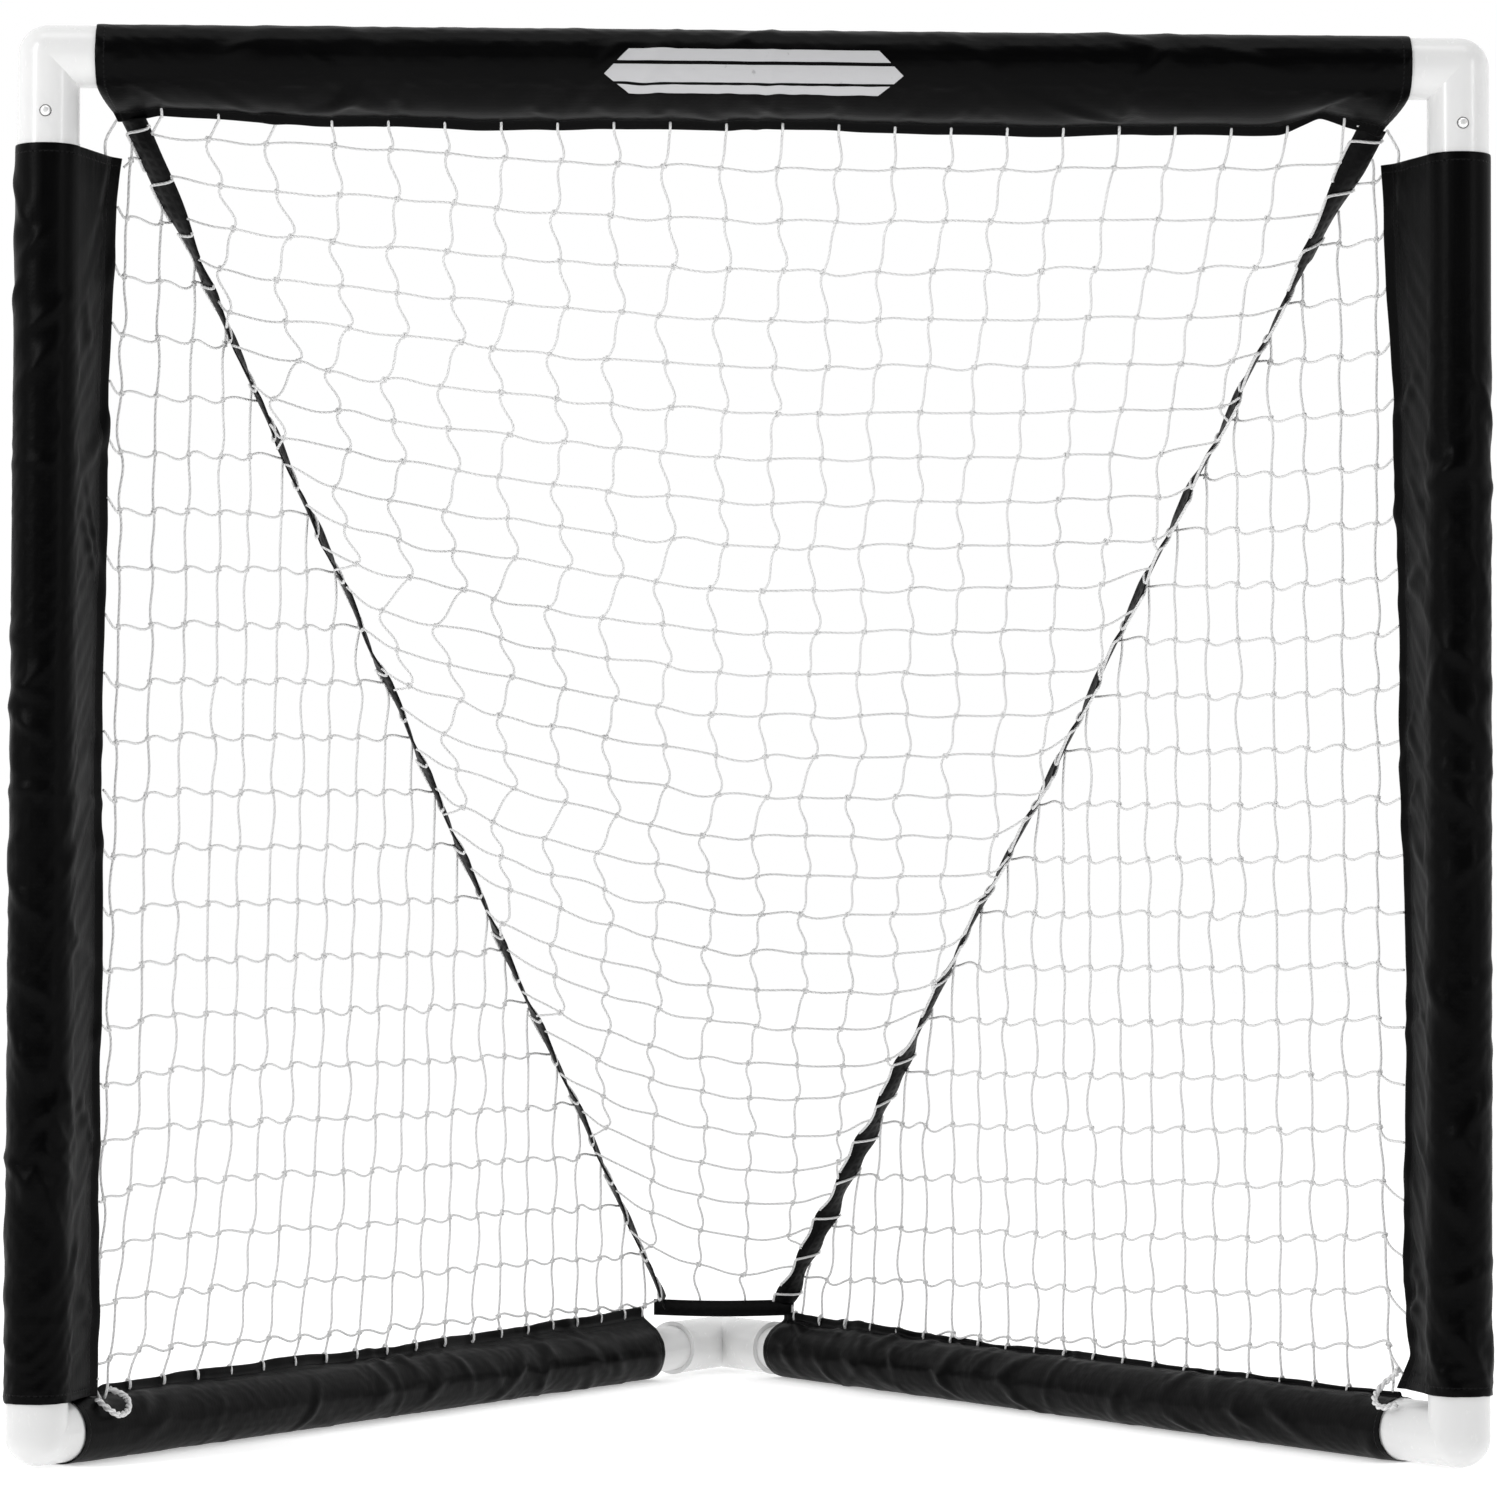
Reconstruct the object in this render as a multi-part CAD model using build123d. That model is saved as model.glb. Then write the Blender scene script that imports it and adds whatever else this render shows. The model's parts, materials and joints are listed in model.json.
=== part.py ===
"""Small practice goal: a slip-together tube frame, fabric sleeves, straps and a three-panel net.

Millimetres, +Z up.  The open mouth faces -Y, the single back corner points to +Y, and the
origin is at the bottom centre of the whole object, on the floor.
"""
from build123d import *
import math
import os

# ---- driving dimensions ----------------------------------------------------------------
POST_SPACING = 889.0        # between the two post axes
FRAME_HEIGHT = 862.0        # base rail axis to crossbar axis
FRAME_DEPTH = 762.0         # post axes to the back corner's axis

TUBE_R = 16.7               # nominal one-inch pipe
TUBE_BORE_R = 14.7
FITTING_R = 19.5            # outside of the moulded fittings
FITTING_CORE_R = 15.4       # open passage behind the socket's stop
SOCKET_R = TUBE_R + 0.1
SOCKET_DEPTH = 38.0
RIM_R = FITTING_R + 0.4     # thickened rim at each socket's mouth
RIM_WIDTH = 3.0
ELBOW_LEG = 58.0            # corner axis to socket mouth
BACK_LEG = 78.0             # the same on the sharp back fitting

BUTTON_R = 3.25
BUTTON_INSET = 21.0         # button axis to the socket's mouth
BUTTON_TOP = 21.3           # dome height above the tube's axis
BUTTON_DOME = 2.2           # rounding of the dome's edge
BUTTON_FLANGE_R = 4.6
BUTTON_SEAT = 12.7          # underside of the flange, on the spring strip
BUTTON_FLANGE = 0.8
TUBE_HOLE_R = 3.6
FITTING_HOLE_R = 3.8
CLIP_WIDTH = 8.0
CLIP_THICKNESS = 0.5
CLIP_BEND = 6.0
CLIP_START = -9.0           # open end of both legs, from the button's axis
CLIP_END = 24.0             # round end of the hairpin
CLIP_WAIST = -2.0           # where the lower leg leaves the round end
CLIP_FOOT = -13.1           # lower leg's tip, on the far wall

SKIN = 0.6                  # sleeve cloth
SLEEVE_R = 20.2             # inside of a sleeve, loose over the fittings' rims
SLEEVE_OUT_R = SLEEVE_R + SKIN
FLAP_HEM = 9.0              # stitched double hem along each flap
BLISTER_R = 5.0             # raised cloth over a hidden button
BLISTER_TOP = BUTTON_TOP + SKIN + 0.3
BLISTER_ROOT = SLEEVE_R - 0.4       # sunk into the sleeve, so that the two fuse
CROSSBAR_SLEEVE = {"left": 30.5, "right": 35.5}     # each sleeve's start from its corner's axis
POST_SLEEVE_BOTTOM = {"left": 20.5, "right": 26.5}
POST_SLEEVE_LENGTH = {"left": 785.0, "right": 781.0}
BASE_SLEEVE_START = {"left": 24.0, "right": 54.0}
BASE_SLEEVE_LENGTH = 735.0
CROSSBAR_FLAP = Vector(0, 34, -38)  # from the crossbar's axis to the flap's tip
POST_FLAP = Vector(34, 38, 0)       # inwards and back from the post's axis
BASE_FLAP_HEIGHT = 50.4             # above the floor
BASE_FLAP_NOTCH = 36.0      # the flap is cut back this far at the front of a base sleeve

STRAP_WIDTH = 20.0
STRAP_THICKNESS = 1.2
BACK_STRAP_WIDTH = 12.0
BACK_STRAP_HALF = 44.0      # half of its length
NET_THICKNESS = 2.0
STRAP_CLEARANCE = 14.5      # back panel's edge to the middle of a strap
PANEL_TOP_GAP = 8.0
PANEL_FOOT_GAP = 20.0
SIDE_FRONT_GAP = 8.0        # side panel's edge to the post sleeve's flap
SIDE_FOOT = BASE_FLAP_HEIGHT + 5.6
SIDE_TOP = 812.0
TIE_R = 1.2
TIE_BEND = 5.0
TIE_GAP = 0.4               # a top tie's ends to the cloth above and below it
TOP_TIE_INSET = Vector(33, 35, 0)   # inwards and back from the post's axis
BOTTOM_TIE = [              # along a base rail, in from its plane, and above the floor
    (46, 12, 40.3), (48, 24, 34), (62, 25.5, 32), (76, 22, 42), (70, 9, 54),
]

# ---- derived positions -----------------------------------------------------------------
FRONT_Y = -(FRAME_DEPTH + FITTING_R - BLISTER_TOP) / 2
RAIL_Z = SLEEVE_OUT_R
CROSSBAR_Z = RAIL_Z + FRAME_HEIGHT
POST_X = POST_SPACING / 2
BACK_CORNER = Vector(0, FRONT_Y + FRAME_DEPTH, RAIL_Z)
RAIL_LENGTH = math.hypot(POST_X, FRAME_DEPTH)
TUBE_GAP = ELBOW_LEG - SOCKET_DEPTH       # corner axis to a tube's end in an elbow
BACK_TUBE_GAP = BACK_LEG - SOCKET_DEPTH
ELBOW_BUTTON = ELBOW_LEG - BUTTON_INSET   # corner axis to a button's axis
BACK_BUTTON = BACK_LEG - BUTTON_INSET
STRAP_TOP = Vector(385.5, FRONT_Y + 41, 837)
STRAP_FOOT = Vector(48, FRONT_Y + 678, 62)
BACK_STRAP_Y = FRONT_Y + 684.5
BACK_STRAP_Z = 52.5

UP = Vector(0, 0, 1)
ACROSS = Vector(1, 0, 0)
FORWARD = Vector(0, -1, 0)
SIDES = {"left": -1, "right": 1}
FROM_BOTTOM = (Align.CENTER, Align.CENTER, Align.MIN)


def top_corner(side):
    """Where a post's axis meets the crossbar's."""
    return Vector(side * POST_X, FRONT_Y, CROSSBAR_Z)


def bottom_corner(side):
    """Where a post's axis meets its base rail's."""
    return Vector(side * POST_X, FRONT_Y, RAIL_Z)


def rail_direction(side):
    """Unit vector from a front corner to the back corner."""
    return (BACK_CORNER - bottom_corner(side)).normalized()


def rail_outward(side):
    """Level unit vector square to a base rail, away from the goal's inside."""
    return Vector(side * FRAME_DEPTH, POST_X, 0).normalized()


def beside_rail(side, along, inward, height):
    """Point given by its distance along a base rail, in from the rail's plane, and height."""
    foot = bottom_corner(side) + rail_direction(side) * along - rail_outward(side) * inward
    return Vector(foot.X, foot.Y, height)


def rod(start, end, radius):
    """Solid cylinder from one point to another."""
    run = end - start
    return Plane(origin=start, z_dir=run) * Cylinder(radius, run.length, align=FROM_BOTTOM)


def radial_hole(centre, outward, radius):
    """Drill from a tube's axis straight out through its wall."""
    return rod(centre, centre + outward * (FITTING_R + 5), radius)


# ---- frame -----------------------------------------------------------------------------
def tube(start, end, button_centres, outward):
    """Plain pipe with one button hole near each end."""
    body = rod(start, end, TUBE_R) - rod(start, end, TUBE_BORE_R)
    for centre in button_centres:
        body -= radial_hole(centre, outward, TUBE_HOLE_R)
    return body


def fitting(corner, sockets, leg):
    """Two sockets that meet at a rounded corner, each with a stop, a rim and a button hole.

    sockets holds a pair of directions for each socket: along it, and out of its button hole.
    """
    body = Pos(*corner) * Sphere(FITTING_R)
    for direction, outward in sockets:
        mouth = corner + direction * leg
        body += rod(corner, mouth, FITTING_R)
        body += rod(mouth - direction * RIM_WIDTH, mouth, RIM_R)
    body -= Pos(*corner) * Sphere(FITTING_CORE_R)
    for direction, outward in sockets:
        mouth = corner + direction * leg
        body -= rod(corner, mouth, FITTING_CORE_R)
        body -= rod(mouth - direction * SOCKET_DEPTH, mouth, SOCKET_R)
    for direction, outward in sockets:
        centre = corner + direction * (leg - BUTTON_INSET)
        body -= radial_hole(centre, outward, FITTING_HOLE_R)
    return body


def button():
    """Domed stud with a flange that stays inside the tube, along +Z from the tube's axis."""
    flange = Pos(0, 0, BUTTON_SEAT) * Cylinder(BUTTON_FLANGE_R, BUTTON_FLANGE, align=FROM_BOTTOM)
    stud = Pos(0, 0, BUTTON_SEAT) * Cylinder(BUTTON_R, BUTTON_TOP - BUTTON_SEAT, align=FROM_BOTTOM)
    stud = fillet(stud.edges().group_by(Axis.Z)[-1], BUTTON_DOME)
    return flange + stud


def spring_clip():
    """Hairpin strip: the upper leg carries the button, the lower leg braces the far wall."""
    upper = BUTTON_SEAT - CLIP_THICKNESS / 2
    path = FilletPolyline(
        (CLIP_START, 0, upper), (CLIP_END, 0, upper), (CLIP_END, 0, CLIP_WAIST),
        (CLIP_START, 0, CLIP_FOOT), radius=CLIP_BEND,
    )
    start = Plane(origin=(CLIP_START, 0, upper), x_dir=(0, 0, 1), z_dir=(1, 0, 0))
    return sweep(start * Rectangle(CLIP_THICKNESS, CLIP_WIDTH), path=path)


# ---- soft parts ------------------------------------------------------------------------
def teardrop(radius, reach, tip_radius):
    """A circle drawn out to a rounded tip at this reach along +X."""
    tip = Pos(reach - tip_radius, 0) * Circle(tip_radius)
    return make_hull(Circle(radius).edges() + tip.edges())


def sleeve(start, direction, length, flap, flap_reach):
    """Cloth tube sewn flat into a flap along one side, open at both ends."""
    section = Plane(origin=start, x_dir=flap, z_dir=direction)
    outer = extrude(section * teardrop(SLEEVE_OUT_R, flap_reach, SKIN), length)
    hem = min(FLAP_HEM, (flap_reach - SLEEVE_R) / 2)
    inner = extrude(section * teardrop(SLEEVE_R, flap_reach - hem, SKIN / 2), length)
    return outer - inner


def add_blister(shell, centre, outward):
    """Raise the cloth in a small dome over a button that sits under it."""
    shell += rod(centre + outward * BLISTER_ROOT, centre + outward * BLISTER_TOP, BLISTER_R)
    shell -= rod(centre, centre + outward * (BLISTER_TOP - SKIN), BLISTER_R - SKIN)
    return shell


def strap(start, end, facing, width=STRAP_WIDTH):
    """Flat webbing from start to end, with its flat side square to facing."""
    section = Plane(origin=start, x_dir=facing, z_dir=end - start)
    return extrude(section * Rectangle(STRAP_THICKNESS, width), (end - start).length)


def panel(corner, across, down, outline):
    """Thin plate on the plane of two directions, from an outline of (across, down) points."""
    plane = Plane(origin=corner, x_dir=across, z_dir=across.cross(down))
    face = plane * make_face(Polyline(*outline, close=True))
    return extrude(face, NET_THICKNESS / 2, both=True)


def tie(points, bend):
    """Short cord through hand-placed points, with round bends."""
    path = FilletPolyline(*points, radius=bend)
    first = points[1] - points[0]
    return sweep(Plane(origin=points[0], z_dir=first) * Circle(TIE_R), path=path)


# ---- assembly --------------------------------------------------------------------------
parts = {}


def add_button(name, corner, direction, leg, outward):
    """One snap button and the spring clip behind it, near a tube's end."""
    centre = corner + direction * (leg - BUTTON_INSET)
    place = Plane(origin=centre, x_dir=direction, z_dir=outward)
    parts["button_" + name] = place * button()
    parts["clip_" + name] = place * spring_clip()


parts["crossbar"] = tube(
    top_corner(-1) + ACROSS * TUBE_GAP,
    top_corner(1) - ACROSS * TUBE_GAP,
    [top_corner(-1) + ACROSS * ELBOW_BUTTON, top_corner(1) - ACROSS * ELBOW_BUTTON],
    FORWARD,
)

for label, side in SIDES.items():
    high = top_corner(side)
    low = bottom_corner(side)
    along = rail_direction(side)
    outward = rail_outward(side)
    inward_x = Vector(-side, 0, 0)

    post = rod(low + UP * TUBE_GAP, high - UP * TUBE_GAP, TUBE_R)
    post -= rod(low + UP * TUBE_GAP, high - UP * TUBE_GAP, TUBE_BORE_R)
    post -= radial_hole(high - UP * ELBOW_BUTTON, FORWARD, TUBE_HOLE_R)
    post -= radial_hole(low + UP * ELBOW_BUTTON, outward, TUBE_HOLE_R)
    parts["post_" + label] = post

    parts["base_rail_" + label] = tube(
        low + along * TUBE_GAP,
        BACK_CORNER - along * BACK_TUBE_GAP,
        [low + along * ELBOW_BUTTON, BACK_CORNER - along * BACK_BUTTON],
        outward,
    )

    parts["elbow_top_" + label] = fitting(
        high, [(inward_x, FORWARD), (UP * -1, FORWARD)], ELBOW_LEG
    )
    parts["elbow_bottom_" + label] = fitting(low, [(UP, outward), (along, outward)], ELBOW_LEG)

    add_button("crossbar_" + label, high, inward_x, ELBOW_LEG, FORWARD)
    add_button("post_top_" + label, high, UP * -1, ELBOW_LEG, FORWARD)
    add_button("post_bottom_" + label, low, UP, ELBOW_LEG, outward)
    add_button("rail_front_" + label, low, along, ELBOW_LEG, outward)
    add_button("rail_back_" + label, BACK_CORNER, along * -1, BACK_LEG, outward)

back_sockets = [(rail_direction(side) * -1, rail_outward(side)) for side in SIDES.values()]
parts["back_fitting"] = fitting(BACK_CORNER, back_sockets, BACK_LEG)

# sleeves, with a raised spot over each button that they hide
crossbar_sleeve = sleeve(
    top_corner(-1) + ACROSS * CROSSBAR_SLEEVE["left"],
    ACROSS,
    POST_SPACING - sum(CROSSBAR_SLEEVE.values()),
    CROSSBAR_FLAP,
    CROSSBAR_FLAP.length,
)
for side in SIDES.values():
    crossbar_sleeve = add_blister(
        crossbar_sleeve, top_corner(side) - ACROSS * side * ELBOW_BUTTON, FORWARD
    )
parts["crossbar_sleeve"] = crossbar_sleeve

for label, side in SIDES.items():
    low = bottom_corner(side)
    along = rail_direction(side)
    outward = rail_outward(side)
    flap = Vector(-side * POST_FLAP.X, POST_FLAP.Y, 0)

    start = low + UP * POST_SLEEVE_BOTTOM[label]
    cover = sleeve(start, UP, POST_SLEEVE_LENGTH[label], flap, flap.length)
    parts["post_sleeve_" + label] = add_blister(cover, low + UP * ELBOW_BUTTON, outward)

    start = BASE_SLEEVE_START[label]
    cover = sleeve(low + along * start, along, BASE_SLEEVE_LENGTH, UP, BASE_FLAP_HEIGHT - RAIL_Z)
    if start < ELBOW_BUTTON:
        cover = add_blister(cover, low + along * ELBOW_BUTTON, outward)
    notch = Plane(
        origin=low + along * (start + BASE_FLAP_NOTCH / 2) + UP * (SLEEVE_OUT_R + 0.1),
        x_dir=along, z_dir=UP,
    )
    parts["base_sleeve_" + label] = cover - notch * Box(
        BASE_FLAP_NOTCH, 2 * SLEEVE_OUT_R, BASE_FLAP_HEIGHT, align=FROM_BOTTOM
    )

# straps from the sleeves' top corners down to the back fitting, and one across it
slope = Vector(0, STRAP_FOOT.Y - STRAP_TOP.Y, STRAP_FOOT.Z - STRAP_TOP.Z)
slope_length = slope.length
down_slope = slope.normalized()
slope_normal = ACROSS.cross(down_slope)

for label, side in SIDES.items():
    head = Vector(side * STRAP_TOP.X, STRAP_TOP.Y, STRAP_TOP.Z)
    foot = Vector(side * STRAP_FOOT.X, STRAP_FOOT.Y, STRAP_FOOT.Z)
    parts["diagonal_strap_" + label] = strap(head, foot, slope_normal)

parts["back_strap"] = strap(
    Vector(-BACK_STRAP_HALF, BACK_STRAP_Y, BACK_STRAP_Z),
    Vector(BACK_STRAP_HALF, BACK_STRAP_Y, BACK_STRAP_Z),
    Vector(0, 1, 0),
    BACK_STRAP_WIDTH,
)

# net: one sloping back panel and two upright side panels, each inset from what it is tied to
def half_width(down):
    """Half of the back panel's width at this distance down the slope."""
    share = down / slope_length
    return STRAP_TOP.X + (STRAP_FOOT.X - STRAP_TOP.X) * share - STRAP_CLEARANCE


last = slope_length - PANEL_FOOT_GAP
parts["net_back"] = panel(
    Vector(0, STRAP_TOP.Y, STRAP_TOP.Z), ACROSS, down_slope,
    [
        (-half_width(PANEL_TOP_GAP), PANEL_TOP_GAP), (half_width(PANEL_TOP_GAP), PANEL_TOP_GAP),
        (half_width(last), last), (-half_width(last), last),
    ],
)

for label, side in SIDES.items():
    front = Vector(side * (POST_X - POST_FLAP.X), FRONT_Y + POST_FLAP.Y, 0)
    back = Vector(side * STRAP_FOOT.X, STRAP_FOOT.Y, 0)
    run = back - front
    foot_end = run.length - PANEL_FOOT_GAP
    parts["net_" + label] = panel(
        front, run.normalized(), UP,
        [(SIDE_FRONT_GAP, SIDE_FOOT), (SIDE_FRONT_GAP, SIDE_TOP), (foot_end, SIDE_FOOT)],
    )

# corner ties: a straight cord at each top corner, a hand-tied loop at each bottom corner
for label, side in SIDES.items():
    x, y = side * (POST_X - TOP_TIE_INSET.X), FRONT_Y + TOP_TIE_INSET.Y
    sleeve_top = RAIL_Z + POST_SLEEVE_BOTTOM[label] + POST_SLEEVE_LENGTH[label]
    parts["tie_top_" + label] = rod(
        Vector(x, y, sleeve_top + TIE_GAP),
        Vector(x, y, CROSSBAR_Z + CROSSBAR_FLAP.Z - TIE_GAP),
        TIE_R,
    )
    parts["tie_bottom_" + label] = tie(
        [beside_rail(side, *point) for point in BOTTOM_TIE], TIE_BEND
    )

os.makedirs("parts", exist_ok=True)
for name, shape in parts.items():
    export_step(shape, "parts/" + name + ".step")
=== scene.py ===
"""Looks of the small practice goal: cloth sleeves, straps, knotted net, ties, plastic and steel."""
import json
import math

import bpy
import numpy as np
from mathutils import Matrix, Vector

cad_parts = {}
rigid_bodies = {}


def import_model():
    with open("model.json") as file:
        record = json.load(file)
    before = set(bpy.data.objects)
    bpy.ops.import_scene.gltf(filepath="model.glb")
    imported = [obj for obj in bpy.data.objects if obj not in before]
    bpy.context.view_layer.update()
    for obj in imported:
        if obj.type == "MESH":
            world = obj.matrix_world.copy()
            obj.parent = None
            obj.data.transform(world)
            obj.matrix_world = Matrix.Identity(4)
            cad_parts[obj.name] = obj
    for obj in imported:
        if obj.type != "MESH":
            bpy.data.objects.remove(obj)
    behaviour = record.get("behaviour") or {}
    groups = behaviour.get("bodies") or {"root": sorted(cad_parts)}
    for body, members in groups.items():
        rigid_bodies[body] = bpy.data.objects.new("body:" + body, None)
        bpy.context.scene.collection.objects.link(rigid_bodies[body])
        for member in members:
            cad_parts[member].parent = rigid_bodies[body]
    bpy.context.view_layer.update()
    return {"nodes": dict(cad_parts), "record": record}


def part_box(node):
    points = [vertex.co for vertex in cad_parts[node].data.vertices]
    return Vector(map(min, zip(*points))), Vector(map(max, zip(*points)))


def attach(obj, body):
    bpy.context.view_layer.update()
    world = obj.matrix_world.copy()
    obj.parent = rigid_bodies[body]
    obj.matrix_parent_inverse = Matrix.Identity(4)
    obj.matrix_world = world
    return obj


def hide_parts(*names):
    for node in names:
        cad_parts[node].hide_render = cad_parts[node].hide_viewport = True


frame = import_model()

MM = 0.001
BODY = "frame"
SIDES = {"left": -1, "right": 1}
X_AXIS, Y_AXIS, Z_AXIS = np.eye(3)

# ---- places, worked out from the frame --------------------------------------------------


def box(node):
    low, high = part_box(node)
    return np.array(low), np.array(high)


def middle(node):
    low, high = box(node)
    return (low + high) / 2


def unit(vector):
    return np.asarray(vector, float) / np.linalg.norm(vector)


FITTING_R = 19.5 * MM
BUTTON_RISE = 4.3 * MM  # from a button's middle to its top
SLEEVE_R = 20.4 * MM  # middle of the cloth round a pipe
STRAP_CORNER = (9.4 * MM, 2.2 * MM, 2.9 * MM)  # a strap's end inside the corner of its box
POST_X, FRONT_Y = middle("post_right")[:2]
CROSSBAR_Z = middle("crossbar")[2]
RAIL_Z = middle("base_rail_right")[2]
BACK_Y = box("back_fitting")[1][1] - FITTING_R
FLAP_TIP_Z = box("base_sleeve_right")[1][2]
HEM_Y = box("crossbar_sleeve")[1][1]
HEM_Z = box("crossbar_sleeve")[0][2]


def corner(side, height):
    return np.array([side * POST_X, FRONT_Y, height])


def rail_way(side):
    """Unit vector along a base rail, from the front to the back corner."""
    return unit([-side * POST_X, BACK_Y - FRONT_Y, 0])


def rail_out(side):
    """Level unit vector square to a base rail, away from the goal's inside."""
    return unit([side * (BACK_Y - FRONT_Y), POST_X, 0])


def by_rail(side, along, inward, height):
    """Point from its distance along a base rail, in from the rail's plane, and height."""
    foot = corner(side, 0) + rail_way(side) * along - rail_out(side) * inward
    return np.array([foot[0], foot[1], height])


def strap_ends(side):
    """Centre of a diagonal strap's top end and of its foot."""
    low, high = box("diagonal_strap_right")
    x, y, z = STRAP_CORNER
    head = np.array([side * (high[0] - x), low[1] + y, high[2] - z])
    foot = np.array([side * (low[0] + x), high[1] - y, low[2] + z])
    return head, foot


# ---- camera, light and floor ------------------------------------------------------------
CAMERA_OFFSET = np.array([-0.0982, -3.2326, 0.3288])  # from the mouth's middle, on the floor
CAMERA_YAW, CAMERA_PITCH, CAMERA_ROLL = 0.02938, 0.03749, 0.00406
LENS_MM = 124.0
FRONT_TONE = 0.1  # of the surroundings in front of the goal; behind it they are white
FRONT_REACH = (-0.6, 0.1)  # directions along y between which the tone turns white
# name, place, aimed at, size, watts
LIGHTS = [
    ("key", (-2.4, -2.2, 1.9), (0, 0, 0.45), (0.3, 1.8), 36),
    ("fill", (2.8, -2.6, 1.5), (0, 0, 0.4), (0.35, 1.8), 18),
    ("top", (0, -0.9, 3.0), (0, 0, 0.3), (2.6, 0.8), 14),
]


def add_camera():
    data = bpy.data.cameras.new("camera")
    data.lens = LENS_MM
    data.sensor_width = 36.0
    data.clip_end = 50.0
    camera = bpy.data.objects.new("camera", data)
    level = np.array([math.sin(CAMERA_YAW), math.cos(CAMERA_YAW), 0.0])
    ahead = level * math.cos(CAMERA_PITCH) + Z_AXIS * math.sin(CAMERA_PITCH)
    right = np.cross(level, Z_AXIS)
    up = np.cross(right, ahead)
    turn, tilt = math.cos(CAMERA_ROLL), math.sin(CAMERA_ROLL)
    rolled_right = right * turn + up * tilt
    rolled_up = up * turn - right * tilt
    place = np.eye(4)
    place[:3] = np.stack([rolled_right, rolled_up, -ahead, CAMERA_OFFSET + [0, FRONT_Y, 0]], 1)
    camera.matrix_world = Matrix(place.tolist())
    bpy.context.scene.collection.objects.link(camera)
    bpy.context.scene.camera = camera


def add_area_light(name, position, target, size, power):
    data = bpy.data.lights.new(name, "AREA")
    data.shape = "RECTANGLE"
    data.size, data.size_y = size
    data.energy = power
    light = bpy.data.objects.new(name, data)
    light.location = position
    light.rotation_euler = (Vector(target) - Vector(position)).to_track_quat("-Z", "Y").to_euler()
    bpy.context.scene.collection.objects.link(light)


def add_world():
    """White surroundings behind the goal, dimmer in front, so that black cloth keeps its shape."""
    world = bpy.data.worlds.new("world")
    bpy.context.scene.world = world
    world.use_nodes = True
    tree = world.node_tree
    coordinates = tree.nodes.new("ShaderNodeTexCoord")
    direction = tree.nodes.new("ShaderNodeSeparateXYZ")
    tone = tree.nodes.new("ShaderNodeMapRange")
    for index, number in enumerate((*FRONT_REACH, FRONT_TONE, 1.0)):
        tone.inputs[1 + index].default_value = number
    tree.links.new(coordinates.outputs["Generated"], direction.inputs[0])
    tree.links.new(direction.outputs[1], tone.inputs[0])
    tree.links.new(tone.outputs[0], tree.nodes["Background"].inputs["Color"])


# ---- materials --------------------------------------------------------------------------


class Finish:
    """A node material: a Principled shader with helpers that add procedural detail."""

    def __init__(self, name, color, roughness, **sockets):
        self.material = bpy.data.materials.new(name)
        self.material.use_nodes = True
        self.tree = self.material.node_tree
        self.shader = self.tree.nodes["Principled BSDF"]
        self.shader.inputs["Base Color"].default_value = (*color, 1)
        self.shader.inputs["Roughness"].default_value = roughness
        for socket, value in sockets.items():
            self.shader.inputs[socket.replace("_", " ")].default_value = value

    def node(self, kind, **settings):
        made = self.tree.nodes.new("ShaderNode" + kind)
        for key, value in settings.items():
            setattr(made, key, value)
        return made

    def plug(self, node, values):
        """Give a node's sockets, by name or number, plain values or other nodes' outputs."""
        for key, value in values.items():
            if isinstance(value, bpy.types.NodeSocket):
                self.tree.links.new(value, node.inputs[key])
            else:
                node.inputs[key].default_value = value
        return node

    def noise(self, vector, scale, detail=4.0, rough=0.55, distortion=0.0):
        made = self.node("TexNoise")
        self.plug(made, {"Vector": vector, "Scale": scale, "Detail": detail, "Roughness": rough,
                         "Distortion": distortion})
        return made.outputs["Fac"]

    def math(self, operation, first, second=0.0):
        return self.plug(self.node("Math", operation=operation), {0: first, 1: second}).outputs[0]

    def ramp(self, value, low, high, to_low=0.0, to_high=1.0):
        """Straight-line map of a value, clamped at both ends."""
        made = self.node("MapRange", clamp=True)
        return self.plug(made, {0: value, 1: low, 2: high, 3: to_low, 4: to_high}).outputs[0]

    def scaled(self, vector, scale):
        made = self.node("Mapping", vector_type="POINT")
        return self.plug(made, {"Scale": scale, "Vector": vector}).outputs[0]

    def objects(self):
        return self.node("TexCoord").outputs["Object"]

    def uv(self):
        return self.node("UVMap").outputs[0]

    def split(self, vector):
        return self.plug(self.node("SeparateXYZ"), {0: vector}).outputs

    def mix(self, factor, first, second):
        """Blend from a first colour, plain or an output, to a plain second one."""
        if not isinstance(first, bpy.types.NodeSocket):
            first = (*first, 1)
        made = self.node("Mix", data_type="RGBA")
        return self.plug(made, {0: factor, 6: first, 7: (*second, 1)}).outputs[2]

    def color(self, output):
        self.plug(self.shader, {"Base Color": output})

    def roughness(self, output):
        self.plug(self.shader, {"Roughness": output})

    def bump(self, *layers):
        """Stack bumps, each a (height, strength, distance in metres)."""
        below = None
        for height, strength, distance in layers:
            made = self.node("Bump")
            self.plug(made, {"Strength": strength, "Distance": distance, "Height": height})
            if below is not None:
                self.plug(made, {"Normal": below})
            below = made.outputs[0]
        self.plug(self.shader, {"Normal": below})


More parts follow.
